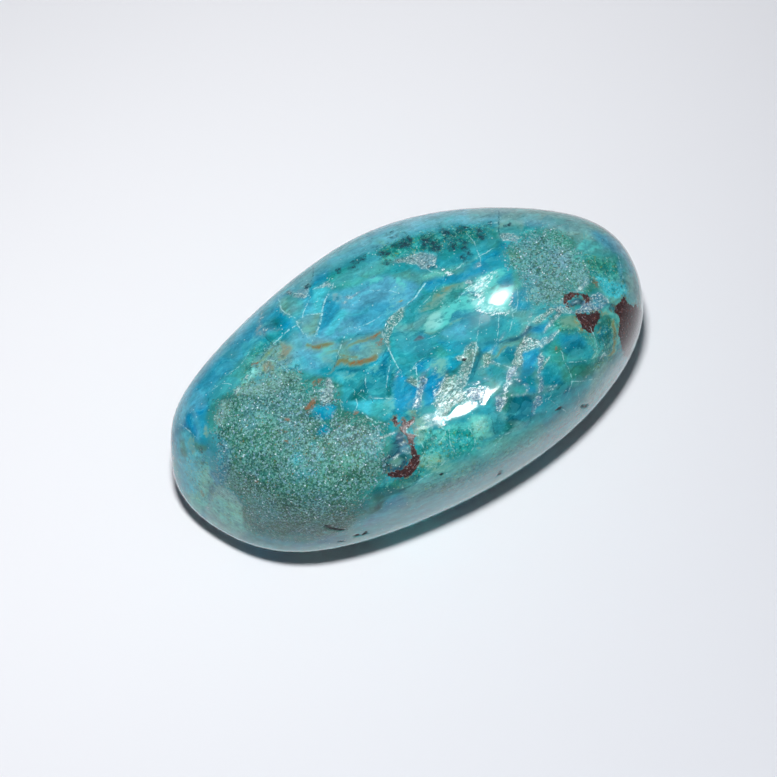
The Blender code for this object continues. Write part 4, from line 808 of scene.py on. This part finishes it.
darkLines = [
    (0.08, 0.8, [(-9.4, 0.4), (-9.2, 1), (-8.9, 1.8)]), (0.07, 0.8, [(-5.6, -1.4), (-5.5, -2.6), (-4.8, -3.6)]),
    (0.07, 0.7, [(-3.2, -0.2), (-3, -1.6), (-2.4, -3.2)]), (0.08, 0.8, [(-9.8, -5.9), (-9.4, -5.4), (-9.2, -5)]),
    (0.07, 0.7, [(7.9, -0.4), (8.4, 1.2), (8.6, 2.8)]), (0.08, 0.8, [(15.2, -3.2), (15.1, -4.6), (14.9, -5.9)]),
    (0.07, 0.8, [(-16.9, 3.1), (-17.6, 3.8), (-18, 4.4)]), (0.07, 0.7, [(-11.9, 12.6), (-12, 11.4), (-12.4, 10.7)]),
    (0.09, 0.8, [(11, 19.4), (11, 17.8), (11.1, 16.7)]), (0.07, 0.7, [(-2.9, 2.8), (-3.5, 1.6), (-4.2, 0.6)]),
    (0.07, 0.7, [(1.7, 11), (0.9, 9.8), (-0.2, 8)]), (0.07, 0.7, [(10.5, -8.1), (10.2, -7.2), (10.1, -6.2)]),
    (0.08, 0.8, [(-22.6, -3.6), (-22, -3.2), (-21.6, -2.8)]), (0.07, 0.6, [(17.2, -3.6), (18.4, -3), (19.8, -2.6)]),
    (0.06, 0.6, [(21.2, -4.6), (22, -4.2), (22.8, -3.6)]), (0.07, 0.6, [(4.6, 3), (5.6, 3.4), (6.8, 3.6)]),
    (0.06, 0.6, [(1.4, -14.4), (2.8, -13.6), (4.4, -13.2)]), (0.06, 0.6, [(6, -14), (8, -12.8), (9.6, -12)]),
    (0.06, 0.6, [(9, -11.6), (10.6, -10.8), (12, -9.8)]), (0.06, 0.6, [(0.6, -16.4), (2.2, -15.6), (3.6, -15)]),
    (0.06, 0.5, [(13, -9.8), (14.4, -8.9), (15.8, -7.8)]), (0.06, 0.6, [(-1, 4.6), (0.6, 4.9), (2, 4.6)]),
]

# open cracks and pits in the polish, painted near-black inside as shade
openCracks = [
    [(-10.4, -19.3, 0.1), (-9.6, -19.6, 0.18), (-8.2, -19.9, 0.14)], [(-6.9, -20.3, 0.1), (-6.3, -20.2, 0.14)],
    [(-5.9, -20.2, 0.1), (-5.2, -20.1, 0.14)], [(-8.8, -21, 0.06), (-8.3, -21, 0.1)],
    [(6.4, 1.2, 0.2), (6.7, 1.25, 0.2)], [(21.3, -4.6, 0.08), (22, -4.2, 0.12)], [(10.8, -12.9, 0.06), (11.4, -12.6, 0.1)],
    [(3.6, -12.9, 0.06), (4, -12.8, 0.08)], [(-6.6, -7.9, 0.12), (-6.5, -8, 0.12)], [(18, -4.9, 0.05), (18.8, -4.5, 0.08)],
]


def hairlineOffset(lines):
    # signed half-widths to the nearest line of the set, so that it stays sharp between points, and its strength
    side = np.full(vertCount, 1.0)
    gap = np.full(vertCount, 9.0)
    width = np.full(vertCount, 0.06)
    strength = np.zeros(vertCount)
    for halfWidth, share, corners in lines:
        line = rounded(corners, False)
        near = pointsNear(line, 1.5)
        places = wandering[near] * 0.25 + seen[near] * 0.75
        for start, end in zip(line[:-1], line[1:]):
            run = end - start
            t = np.clip((places - start) @ run / (run @ run), 0, 1)
            rest = places - start - t[:, None] * run
            distance = np.hypot(*rest.T)
            closer = distance < gap[near]
            which = near[closer]
            gap[which] = distance[closer]
            side[which] = np.sign(run[0] * rest[closer, 1] - run[1] * rest[closer, 0])
            width[which] = halfWidth
            strength[which] = share
    return side * np.minimum(gap, 1.2) / width, strength * ease(1.1, 0.5, gap)


def paint(depth, mineral, softness, strength):
    share = (strength * ease(-softness / 2, softness / 2, depth))[:, None]
    if mineral in stains:
        stainTint[:] = stainTint * (1 - share) + np.array(linear(minerals[mineral])) * share
        stainShare[:] = np.maximum(stainShare, share[:, 0])
    else:
        tint[:] = tint * (1 - share) + np.array(linear(minerals[mineral])) * share
        stainShare[:] = stainShare * (1 - share[:, 0])


# the ground colour drifts between teal, azure and sea green all round the stone
drift = 0.5 + 0.5 * ripple(9.0, 3)
tint = np.tile(linear(minerals["teal"]), (vertCount, 1))
stainTint = np.tile(linear(minerals["turquoise"]), (vertCount, 1))
stainShare = np.zeros(vertCount)
paint(drift[:, 0] - 0.52, "azure", 0.25, 0.75)
paint(drift[:, 1] - 0.56, "seaGreen", 0.2, 0.7)
paint(drift[:, 2] - 0.6, "greyGreen", 0.15, 0.6)

# the far side and the underside carry the same minerals, scattered by a fixed seed
hiddenSide = {"seed": 23, "tints": 70, "druse": 7, "cuprite": 9, "seams": 11}
luck = np.random.default_rng(hiddenSide["seed"])
hidden = np.nonzero(facing < 0.05)[0]
coverHidden = ease(0.16, 0.02, facing)
warped = spots + 0.9 * coarsePush + 0.3 * finePush + 1.6 * ripple(5.0, 4)


def blotDepth(radius, stretch):
    middle = spots[luck.choice(hidden)]
    along = luck.normal(size=3)
    along /= np.linalg.norm(along)
    gap = warped - middle
    gap -= np.outer(gap @ along, along) * (1 - 1 / stretch)
    return radius - np.linalg.norm(gap, axis=1) - 4 * (1 - coverHidden)


hiddenTints = ["azure", "sky", "paleSky", "turquoise", "mint", "seaGreen", "deepTeal", "greyGreen", "cyan",
               "emerald", "brownGrey", "oliveBrown", "navy", "deepGreen", "flank"]
for count in range(hiddenSide["tints"]):
    paint(blotDepth(luck.uniform(1.2, 4.5), luck.uniform(1, 3)), hiddenTints[count % len(hiddenTints)],
          luck.uniform(0.6, 2.0), luck.uniform(0.5, 0.9))

for mineral, softness, strength, corners in tintPatches:
    paint(patchDepth(corners), mineral, softness, strength)
for mineral, softness, strength, line in tintStreaks:
    paint(strokeDepth(line), mineral, softness, strength)
for mineral, softness, strength, corners in druseTones:
    paint(patchDepth(corners), mineral, softness, strength)
print("tints painted")

druse = np.full(vertCount, -3.0)
for corners in drusePatches:
    druse = np.maximum(druse, patchDepth(corners))
for corners in druseHoles:
    depth = patchDepth(corners)
    druse = np.minimum(druse, -depth)
    paint(depth, "azure", 0.5, 0.95)
for count in range(hiddenSide["druse"]):
    depth = blotDepth(luck.uniform(3, 7), luck.uniform(1, 2))
    druse = np.maximum(druse, depth)
    paint(depth, "druseGreen", 0.8, 0.9)

crystal = np.full(vertCount, -3.0)
for mineral, corners in crystalPatches:
    depth = patchDepth(corners)
    crystal = np.maximum(crystal, depth)
    paint(depth, mineral, 0.25, 0.85)
for line in crystalVeins:
    depth = strokeDepth(line, steadiness=0.5)
    crystal = np.maximum(crystal, depth)
    paint(depth, "veinPale", 0.25, 0.7)
for count in range(hiddenSide["seams"]):  # healed fractures are planes through the rough
    facingWay = luck.normal(size=3)
    facingWay /= np.linalg.norm(facingWay)
    plane = np.abs((warped - spots[luck.choice(hidden)]) @ facingWay)
    breaks = 0.5 * ripple(4.0, 30 + count)[:, 0]
    depth = luck.uniform(0.1, 0.35) + breaks - plane - 4 * (1 - coverHidden)
    crystal = np.maximum(crystal, depth)
    paint(depth, "veinGreen", 0.3, 0.8)
sparkle = np.full(vertCount, -3.0)
for corners in sparklePatches:
    sparkle = np.maximum(sparkle, patchDepth(corners))
rust = np.full(vertCount, -3.0)
for line in rustSpots:
    rust = np.maximum(rust, strokeDepth(line))
mottled = np.full(vertCount, -3.0)
for corners in mottledPatches:
    mottled = np.maximum(mottled, patchDepth(corners))
# quartz rims, which the shader paints with white glints
quartz = np.full(vertCount, -3.0)
for line in paintedGlintRims:
    quartz = np.maximum(quartz, strokeDepth(line, steadiness=0.5))

cuprite = np.full(vertCount, -3.0)
for corners in cupritePatches:
    cuprite = np.maximum(cuprite, patchDepth(corners))
for line in cupriteStrokes:
    cuprite = np.maximum(cuprite, strokeDepth(line, steadiness=0.5))
for count in range(hiddenSide["cuprite"]):
    cuprite = np.maximum(cuprite, blotDepth(luck.uniform(0.6, 1.8), luck.uniform(1, 2.5)))

tenorite = np.full(vertCount, -2.0)
for line in tenoriteSmears:
    tenorite = np.maximum(tenorite, strokeDepth(line))
tenorite = np.maximum(tenorite, 2.4 * (drift[:, 2] - 0.84) - 4 * (1 - coverHidden))

cracks = np.full(vertCount, -2.0)
for line in openCracks:
    cracks = np.maximum(cracks, strokeDepth(line))
fields = {"druse": druse, "crystal": crystal, "sparkle": sparkle, "quartz": quartz, "rust": rust, "mottled": mottled, "cuprite": cuprite, "tenorite": tenorite,
          "cracks": cracks, "stainShare": stainShare}
for name, lines in {"paleA": hairlinesA, "paleB": hairlinesB, "dark": darkLines}.items():
    fields[name + "Line"], fields[name + "Share"] = hairlineOffset(lines)
print("veins, druse and stains placed")

# real relief, always inwards so that the stone keeps its size
sink = stone["waviness"] * ease(-0.6, 0.8, ripple(7.0, 5)[:, 0])
sink += stone["drusePit"] * ease(-0.3, 0.5, druse) * (0.7 + 0.5 * finePush[:, 0])
sink += stone["veinPit"] * ease(-0.15, 0.3, crystal) * (0.8 + 0.6 * finePush[:, 1])
sink += stone["crackPit"] * ease(-0.05, 0.1, cracks)
sink *= ease(0.0, 0.6, spots[:, 2])  # the lapped spot underneath stays flat
carved = (spots - normals * np.clip(sink, 0, None)[:, None]) * mm
stoneMesh.vertices.foreach_set("co", carved.ravel())
stoneMesh.update()

for name, values in fields.items():
    stoneMesh.attributes.new(name, "FLOAT", "POINT").data.foreach_set("value", values)
stoneMesh.attributes.new("tint", "FLOAT_COLOR", "POINT").data.foreach_set("color", tint.ravel())
stoneMesh.attributes.new("stainTint", "FLOAT_COLOR", "POINT").data.foreach_set("color", stainTint.ravel())

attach(polishedStone, "root")
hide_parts("chrysocolla_stone")
print("stone carved")


def addNode(tree, kind, settings={}, links={}):
    node = tree.nodes.new("ShaderNode" + kind)
    for name, value in settings.items():
        if name == "stops":  # a ramp's places and colours
            ramp = node.color_ramp.elements
            while len(ramp) < len(value):
                ramp.new(0.5)
            for stop, (place, colour) in zip(ramp, value):
                stop.position = place
                stop.color = colour
        elif isinstance(name, str) and name in node.bl_rna.properties:
            setattr(node, name, value)
        else:
            node.inputs[name].default_value = value
    for name, source in links.items():
        tree.links.new(source, node.inputs[name])
    return node


# Chrysocolla in quartz, tumbled and polished: a glassy skin over opaque copper minerals, where
# pits and grains that the polish didn't reach scatter small glints.
polish = {
    "roughness": 0.09,
    "ior": 1.47,
    "buckle": 2.2,  # mm that the mineral layers bend
    "buckleSize": 3.0,
    "fragmentSize": 2.4,  # mm across one healed fragment of the breccia
    "gritSize": 0.19,  # mm across a druse crystal
    "dustSize": 0.14,  # mm across the finest painted glints and dark specks, drawn at twice their size so that they show
}

material = bpy.data.materials.new("polished_chrysocolla_in_quartz")
material.use_nodes = True
tree = material.node_tree
tree.nodes.clear()
place = addNode(tree, "VectorMath", {"operation": "SCALE", "Scale": 1 / mm},
                {0: addNode(tree, "TexCoord").outputs["Object"]}).outputs[0]
buckle = addNode(tree, "TexNoise", {"Scale": 1 / polish["buckleSize"], "Detail": 3.0}, {"Vector": place})
buckled = addNode(tree, "VectorMath", {"operation": "MULTIPLY_ADD", 1: (polish["buckle"],) * 3},
                  {0: buckle.outputs["Color"], 2: place}).outputs[0]
layered = addNode(tree, "Mapping", {"Rotation": (0.25, -0.2, 0.12), "Scale": (0.3, 1.0, 1.0)},
                  {0: buckled}).outputs[0]
scratched = addNode(tree, "Mapping", {"vector_type": "TEXTURE", "Rotation": (0.0, -0.2, 0.17), "Scale": (2.2, 1.0, 1.0)},
                    {0: place}).outputs[0]

# each pattern: mm across its coarsest part, detail, roughness, distortion, coordinates
patterns = {
    "clouds": (2.6, 6, 0.60, 0.8, place),
    "drifts": (4.5, 4, 0.60, 0.3, buckled),
    "mottle": (0.5, 5, 0.65, 0.3, place),
    "wisps": (1.1, 7, 0.64, 0.4, layered),
    "threads": (0.4, 4, 0.6, 0.2, layered),
    "edges": (1.5, 6, 0.72, 0.0, place),
    "fineEdges": (0.4, 3, 0.7, 0.0, place),
    "grains": (0.30, 2, 0.6, 0.0, place),
    "flecks": (0.22, 2, 0.6, 0.0, place),
    "hatching": (0.26, 3, 0.6, 0.1, scratched),
    "sheen": (1.6, 2, 0.5, 0.0, buckled),
}
noiseOf = {}
for name, (size, detail, roughness, distortion, coordinates) in patterns.items():
    noiseOf[name] = addNode(tree, "TexNoise", {"Scale": 1 / size, "Detail": detail, "Roughness": roughness,
                                               "Distortion": distortion}, {"Vector": coordinates}).outputs["Fac"]
fragmentAt = addNode(tree, "Mapping", {"Rotation": (0, 0.3, 0.5), "Scale": (0.7, 1.25, 1.0)}, {0: buckled}).outputs[0]
for name, size, coordinates in (("fragment", polish["fragmentSize"], fragmentAt),
                                ("shard", polish["fragmentSize"] * 0.4, fragmentAt),
                                ("grit", polish["gritSize"], place), ("dust", polish["dustSize"], place)):
    cell = addNode(tree, "TexVoronoi", {"Scale": 1 / size}, {"Vector": coordinates})
    random = addNode(tree, "SeparateColor", {}, {0: cell.outputs["Color"]})
    for channel in range(3):
        noiseOf[name + "ABC"[channel]] = random.outputs[channel]

# each mask: the drawn mm of depth, the patterns that break its edge and by how many mm, and where it fades in
masks = {
    "druse": ("druse", {"edges": 4.0, "mottle": 2.0, "gritC": 1.6}, -0.3, 0.3),
    "crystal": ("crystal", {"fineEdges": 0.7}, -0.04, 0.06),
    "crystalHeart": ("crystal", {"fineEdges": 0.5}, 0.06, 0.16),
    "sparkle": ("sparkle", {"edges": 2.6}, -0.1, 0.4),
    "cuprite": ("cuprite", {"edges": 1.2, "fineEdges": 0.5}, -0.06, 0.08),
    "cupriteHalo": ("cuprite", {"edges": 3.0}, -0.5, 0.1),
    "tenorite": ("tenorite", {"edges": 2.2}, -0.25, 0.2),
    "rust": ("rust", {"fineEdges": 0.9, "threads": 1.0}, -0.12, 0.2),
    "quartz": ("quartz", {"hatching": 1.2}, -0.06, 0.1),
    "stain": ("stainShare", {"wisps": 2.2, "mottle": 0.8}, 0.15, 0.85),
    "mottled": ("mottled", {"edges": 3.6, "fineEdges": 1.2}, -0.4, 0.8),
    "cracks": ("cracks", {"fineEdges": 0.2}, -0.06, 0.03),
}
maskOf = {}
for name, (field, breaks, low, high) in masks.items():
    broken = addNode(tree, "Attribute", {"attribute_name": field}).outputs["Fac"]
    for pattern, reach in breaks.items():
        centred = addNode(tree, "Math", {"operation": "SUBTRACT", 1: 0.5}, {0: noiseOf[pattern]}).outputs[0]
        broken = addNode(tree, "Math", {"operation": "MULTIPLY_ADD", 1: reach}, {0: centred, 2: broken}).outputs[0]
    maskOf[name] = addNode(tree, "MapRange", {"interpolation_type": "SMOOTHSTEP", "From Min": low, "From Max": high},
                           {"Value": broken}).outputs[0]
maskOf["seamRim"] = addNode(tree, "Math", {"operation": "SUBTRACT", "use_clamp": True},
                            {0: maskOf["crystal"], 1: maskOf["crystalHeart"]}).outputs[0]
maskOf["smooth"] = addNode(tree, "Math", {"operation": "SUBTRACT", 0: 1.0}, {1: maskOf["druse"]}).outputs[0]
for name in ("paleA", "paleB", "dark"):
    offLine = addNode(tree, "Attribute", {"attribute_name": name + "Line"}).outputs["Fac"]
    share = addNode(tree, "Attribute", {"attribute_name": name + "Share"}).outputs["Fac"]
    centred = addNode(tree, "Math", {"operation": "SUBTRACT", 1: 0.5}, {0: noiseOf["fineEdges"]}).outputs[0]
    ragged = addNode(tree, "Math", {"operation": "MULTIPLY_ADD", 1: 5.0}, {0: centred, 2: offLine}).outputs[0]
    distance = addNode(tree, "Math", {"operation": "ABSOLUTE"}, {0: ragged}).outputs[0]
    thin = addNode(tree, "MapRange", {"interpolation_type": "SMOOTHSTEP", "From Min": 1.6, "From Max": 0.5},
                   {"Value": distance}).outputs[0]
    maskOf[name] = addNode(tree, "Math", {"operation": "MULTIPLY"}, {0: thin, 1: share}).outputs[0]

tintAt = {name: addNode(tree, "Attribute", {"attribute_name": name}).outputs["Color"] for name in ("tint", "stainTint")}

# the layers run deeper and paler by these factors; each wash lets a colour through where its pattern passes from low to high: mask, pattern, low, high, most, colour
washes = [
    # breccia fragments, each with a shade of its own
    ("smooth", "fragmentA", 0.60, 0.62, 0.16, "0480A4"),
    ("smooth", "fragmentB", 0.66, 0.68, 0.16, "0A9C92"),
    ("smooth", "fragmentC", 0.74, 0.76, 0.14, "4CB8CC"),
    ("smooth", "shardA", 0.74, 0.76, 0.12, "02647C"),
    ("smooth", "shardB", 0.80, 0.82, 0.12, "5CC4C8"),
    # drawn-out layers and clouds
    ("smooth", "clouds", 0.52, 0.68, 0.12, "2CAAC0"),
    ("smooth", "wisps", 0.54, 0.68, 0.15, "40B8C0"),
    # iron and turquoise stains
    ("stain", "threads", 0.25, 0.50, 0.90, "stainTint"),
    ("smooth", "threads", 0.60, 0.74, 0.13, "6CD0D0"),
    ("smooth", "mottle", 0.60, 0.74, 0.12, "58CCC8"),
    ("smooth", "flecks", 0.64, 0.74, 0.11, "90D8DA"),
    # finely mottled ground, with yellow-green and white specks
    ("mottled", "mottle", 0.52, 0.64, 0.32, "68C8B0"),
    ("mottled", "mottle", 0.48, 0.36, 0.60, "0A5A4E"),
    ("mottled", "fineEdges", 0.56, 0.65, 0.50, "6A8A3C"),
    ("mottled", "flecks", 0.59, 0.69, 0.34, "B4E0D8"),
    ("mottled", "wisps", 0.46, 0.36, 0.30, "086E78"),
    # copper-oxide smears, blackest at their heart
    ("tenorite", "edges", 0.35, 0.5, 0.45, "14505A"),
    ("tenorite", "mottle", 0.44, 0.56, 0.85, "1E2E40"),
    ("cupriteHalo", "fineEdges", 0.46, 0.56, 0.65, "7A6A34"),
    # druse grains: pale faces, dark gaps, and a few painted glints where grains catch the light
    ("druse", "clouds", 0.50, 0.66, 0.35, "4A8E96"),
    ("druse", "clouds", 0.48, 0.34, 0.50, "1E5C46"),
    ("druse", "mottle", 0.56, 0.70, 0.35, "6CA89E"),
    ("druse", "mottle", 0.46, 0.32, 0.55, "124438"),
    ("druse", "gritA", 0.50, 1.00, 0.55, "7CB4AE"),
    ("druse", "gritA", 0.50, 0.00, 0.62, "0C3A36"),
    ("druse", "gritB", 0.84, 1.00, 0.50, "80ACC8"),
    ("druse", "gritC", 0.24, 0.00, 0.55, "3A7030"),
    ("druse", "flecks", 0.58, 0.68, 0.50, "A8C8DC"),
    ("druse", "flecks", 0.42, 0.30, 0.40, "0E3C38"),
    ("druse", "dustB", 0.985, 0.990, 0.6, "7A6430"),
    # painted glints on a few druse grains
    ("druse", "dustA", 0.988, 0.993, 0.8, "D4E8F4"),
    ("rust", "mottle", 0.30, 0.50, 0.75, "84542E"),
    # sugary seams
    ("crystalHeart", "gritA", 0.55, 1.00, 0.50, "A4C2BE"),
    ("crystalHeart", "gritA", 0.45, 0.00, 0.60, "3A6666"),
    ("crystalHeart", "flecks", 0.58, 0.66, 0.60, "D8E8E6"),
    ("crystalHeart", "flecks", 0.42, 0.32, 0.40, "2A5A60"),
    ("seamRim", "mottle", 0.46, 0.60, 0.65, "C4E2DE"),
    # pale painted glints in the hatching round the two gleams
    ("sparkle", "hatching", 0.52, 0.60, 0.70, "C4ECEA"),
    ("sparkle", "hatching", 0.44, 0.34, 0.60, "0E7E8C"),
    # cuprite, mottled and flecked with grey
    ("cuprite", None, 0, 0, 1.0, "3C2A2A"),
    ("cuprite", "mottle", 0.50, 0.66, 0.70, "6A423C"),
    ("cuprite", "grains", 0.46, 0.36, 0.75, "221A1E"),
    ("cuprite", "flecks", 0.60, 0.68, 0.60, "948A90"),
    # fine lines, broken into dashes
    ("paleA", "mottle", 0.42, 0.56, 0.75, "A8DCE0"),
    ("paleB", "mottle", 0.42, 0.56, 0.75, "A8DCE0"),
    ("dark", "mottle", 0.42, 0.56, 0.75, "044A5C"),
    # white painted glints on the quartz rims round the gleams
    ("quartz", "flecks", 0.40, 0.56, 0.90, "DCEEF0"),
    # pale painted glints scattered over the smooth ground, then dark specks
    ("smooth", "dustA", 0.994, 0.996, 0.4, "BCE8E4"),
    ("smooth", "dustB", 0.994, 0.996, 0.4, "0A4A56"),
    # painted shade, near-black, inside the open cracks and pits
    ("cracks", None, 0, 0, 1.0, "0E2026"),
]
colour = tintAt["tint"]
for pattern, dark, bright in (("clouds", 0.86, 1.12), ("wisps", 0.82, 1.14), ("threads", 0.84, 1.14), ("mottle", 0.84, 1.12)):
    depth = addNode(tree, "MapRange", {"From Min": 0.34, "From Max": 0.66, "To Min": dark, "To Max": bright},
                    {"Value": noiseOf[pattern]}).outputs[0]
    colour = addNode(tree, "VectorMath", {"operation": "SCALE"}, {0: colour, "Scale": depth}).outputs[0]
for where, pattern, low, high, most, paintName in washes:
    share = maskOf[where]
    if pattern:
        through = addNode(tree, "MapRange", {"interpolation_type": "SMOOTHSTEP", "From Min": low, "From Max": high,
                                             "To Max": most}, {"Value": noiseOf[pattern]}).outputs[0]
        share = addNode(tree, "Math", {"operation": "MULTIPLY"}, {0: share, 1: through}).outputs[0]
    layers = {0: share, 6: colour}
    if paintName in tintAt:
        layers[7] = tintAt[paintName]
        colour = addNode(tree, "Mix", {"data_type": "RGBA"}, layers).outputs[2]
    else:
        colour = addNode(tree, "Mix", {"data_type": "RGBA", 7: linear(paintName)}, layers).outputs[2]

# the polish is duller on grains, seams and cuprite
roughness = addNode(tree, "Math", {"operation": "MULTIPLY_ADD", 1: 0.05, 2: polish["roughness"] - 0.025},
                    {0: noiseOf["mottle"]}).outputs[0]
for where, more in (("druse", 0.34), ("crystal", 0.08), ("cuprite", 0.08)):
    roughness = addNode(tree, "Math", {"operation": "MULTIPLY_ADD", 1: more},
                        {0: maskOf[where], 2: roughness}).outputs[0]

# relief in mm: grains stand up out of the pits, seams are sugary, and the polish keeps a faint orange peel
relief = addNode(tree, "Math", {"operation": "MULTIPLY", 1: 0.005}, {0: noiseOf["sheen"]}).outputs[0]
for where, pattern, lift in (("druse", "gritA", 0.014), ("druse", "flecks", 0.04), ("crystalHeart", "grains", 0.05),
                             ("crystalHeart", "flecks", 0.03), ("sparkle", "hatching", 0.03), ("cuprite", "mottle", 0.03)):
    raised = addNode(tree, "Math", {"operation": "MULTIPLY"}, {0: maskOf[where], 1: noiseOf[pattern]}).outputs[0]
    relief = addNode(tree, "Math", {"operation": "MULTIPLY_ADD", 1: lift}, {0: raised, 2: relief}).outputs[0]
bump = addNode(tree, "Bump", {"Strength": 1.0, "Distance": mm}, {"Height": relief})
shader = addNode(tree, "BsdfPrincipled", {"IOR": polish["ior"]},
                 {"Base Color": colour, "Roughness": roughness, "Normal": bump.outputs[0]})
addNode(tree, "OutputMaterial", {}, {"Surface": shader.outputs[0]})
stoneMesh.materials.append(material)
print("stone finished")

# a sheet of matt white acrylic under the stone; its colour darkens towards the lower right of the view as painted
# falloff of the lamp's light
floor = {"size": 4.0, "colour": "F4F6F9", "paintedDimColour": "DADDE2", "fade": 0.13, "roughness": 0.55}
bpy.ops.object.select_all(action="DESELECT")
bpy.ops.mesh.primitive_plane_add(size=floor["size"])
table = bpy.context.object
table.name = "white_table"
tableMaterial = bpy.data.materials.new("matt_white_acrylic")
tableMaterial.use_nodes = True
tableShader = tableMaterial.node_tree.nodes["Principled BSDF"]
tableTree = tableMaterial.node_tree
# painted light falloff: the floor's colour grades to the dimmer one towards the lower right
tableAt = addNode(tableTree, "VectorMath", {"operation": "DOT_PRODUCT", 1: Vector(across - away).normalized() / floor["fade"]},
                  {0: addNode(tableTree, "TexCoord").outputs["Object"]}).outputs["Value"]
paintedLightFalloff = addNode(tableTree, "MapRange", {"interpolation_type": "SMOOTHSTEP", "From Min": -0.5, "From Max": 0.5},
                    {"Value": tableAt}).outputs[0]
tableColour = addNode(tableTree, "Mix", {"data_type": "RGBA", 6: linear(floor["colour"]), 7: linear(floor["paintedDimColour"])},
                      {0: paintedLightFalloff}).outputs[2]
tableTree.links.new(tableColour, tableShader.inputs["Base Color"])
tableShader.inputs["Roughness"].default_value = floor["roughness"]
tableShader.inputs["Specular IOR Level"].default_value = 0.2
table.data.materials.append(tableMaterial)

# studio: a small lamp beside the lens for shade and shadow, and two panels that only gleam in the polish
studio = {
    "lamp": {"across": -10.0, "away": -51.0, "height": 264.0, "size": 25.0, "power": 0.75},  # mm and watts
    "frontPanel": {"towards": (0.357, -0.12, 0.94), "size": (0.084, 0.110), "power": 2.6},
    "backPanel": {"towards": (0.135, 0.435, 0.89), "size": (0.023, 0.019), "power": 0.125},
    "distance": 0.6,
    "skyColour": "E8E0FA",
    "skyStrength": 0.095,
}
facts = studio["lamp"]
lampData = bpy.data.lights.new("ring_lamp", "AREA")
lampData.shape = "DISK"
lampData.size = facts["size"] * mm
lampData.energy = facts["power"]
lamp = bpy.data.objects.new("ring_lamp", lampData)
lamp.location = (Vector(across * facts["across"] + away * facts["away"]) + Vector((0, 0, facts["height"]))) * mm
lamp.rotation_euler = (lamp.location - Vector(faceMiddle) * mm).to_track_quat("Z", "Y").to_euler()
lamp.visible_glossy = False
bpy.context.scene.collection.objects.link(lamp)
for name in ("frontPanel", "backPanel"):
    facts = studio[name]
    panelData = bpy.data.lights.new(name, "AREA")
    panelData.shape = "RECTANGLE"
    panelData.size, panelData.size_y = facts["size"]
    panelData.energy = facts["power"]
    panel = bpy.data.objects.new(name, panelData)
    direction = Vector(across * facts["towards"][0] + away * facts["towards"][1]) + Vector((0, 0, facts["towards"][2]))
    panel.location = Vector(faceMiddle) * mm + direction.normalized() * studio["distance"]
    panel.rotation_euler = direction.to_track_quat("Z", "Y").to_euler()
    panel.visible_diffuse = False
    bpy.context.scene.collection.objects.link(panel)

world = bpy.data.worlds.new("studio_room")
bpy.context.scene.world = world
world.use_nodes = True
backdrop = world.node_tree.nodes["Background"]
backdrop.inputs["Color"].default_value = linear(studio["skyColour"])
backdrop.inputs["Strength"].default_value = studio["skyStrength"]

cameraData = bpy.data.cameras.new("camera")
cameraData.lens = viewing["lens"]
cameraData.clip_start = 0.01
camera = bpy.data.objects.new("camera", cameraData)
aim = faceMiddle + viewing["aimAcross"] * across + viewing["aimUp"] * up
camera.location = (aim + towards * viewing["distance"]) * mm
camera.rotation_euler = Vector(towards).to_track_quat("Z", "Y").to_euler()
bpy.context.scene.collection.objects.link(camera)
bpy.context.scene.camera = camera
bpy.context.scene.view_settings.view_transform = "Standard"
print("studio ready")
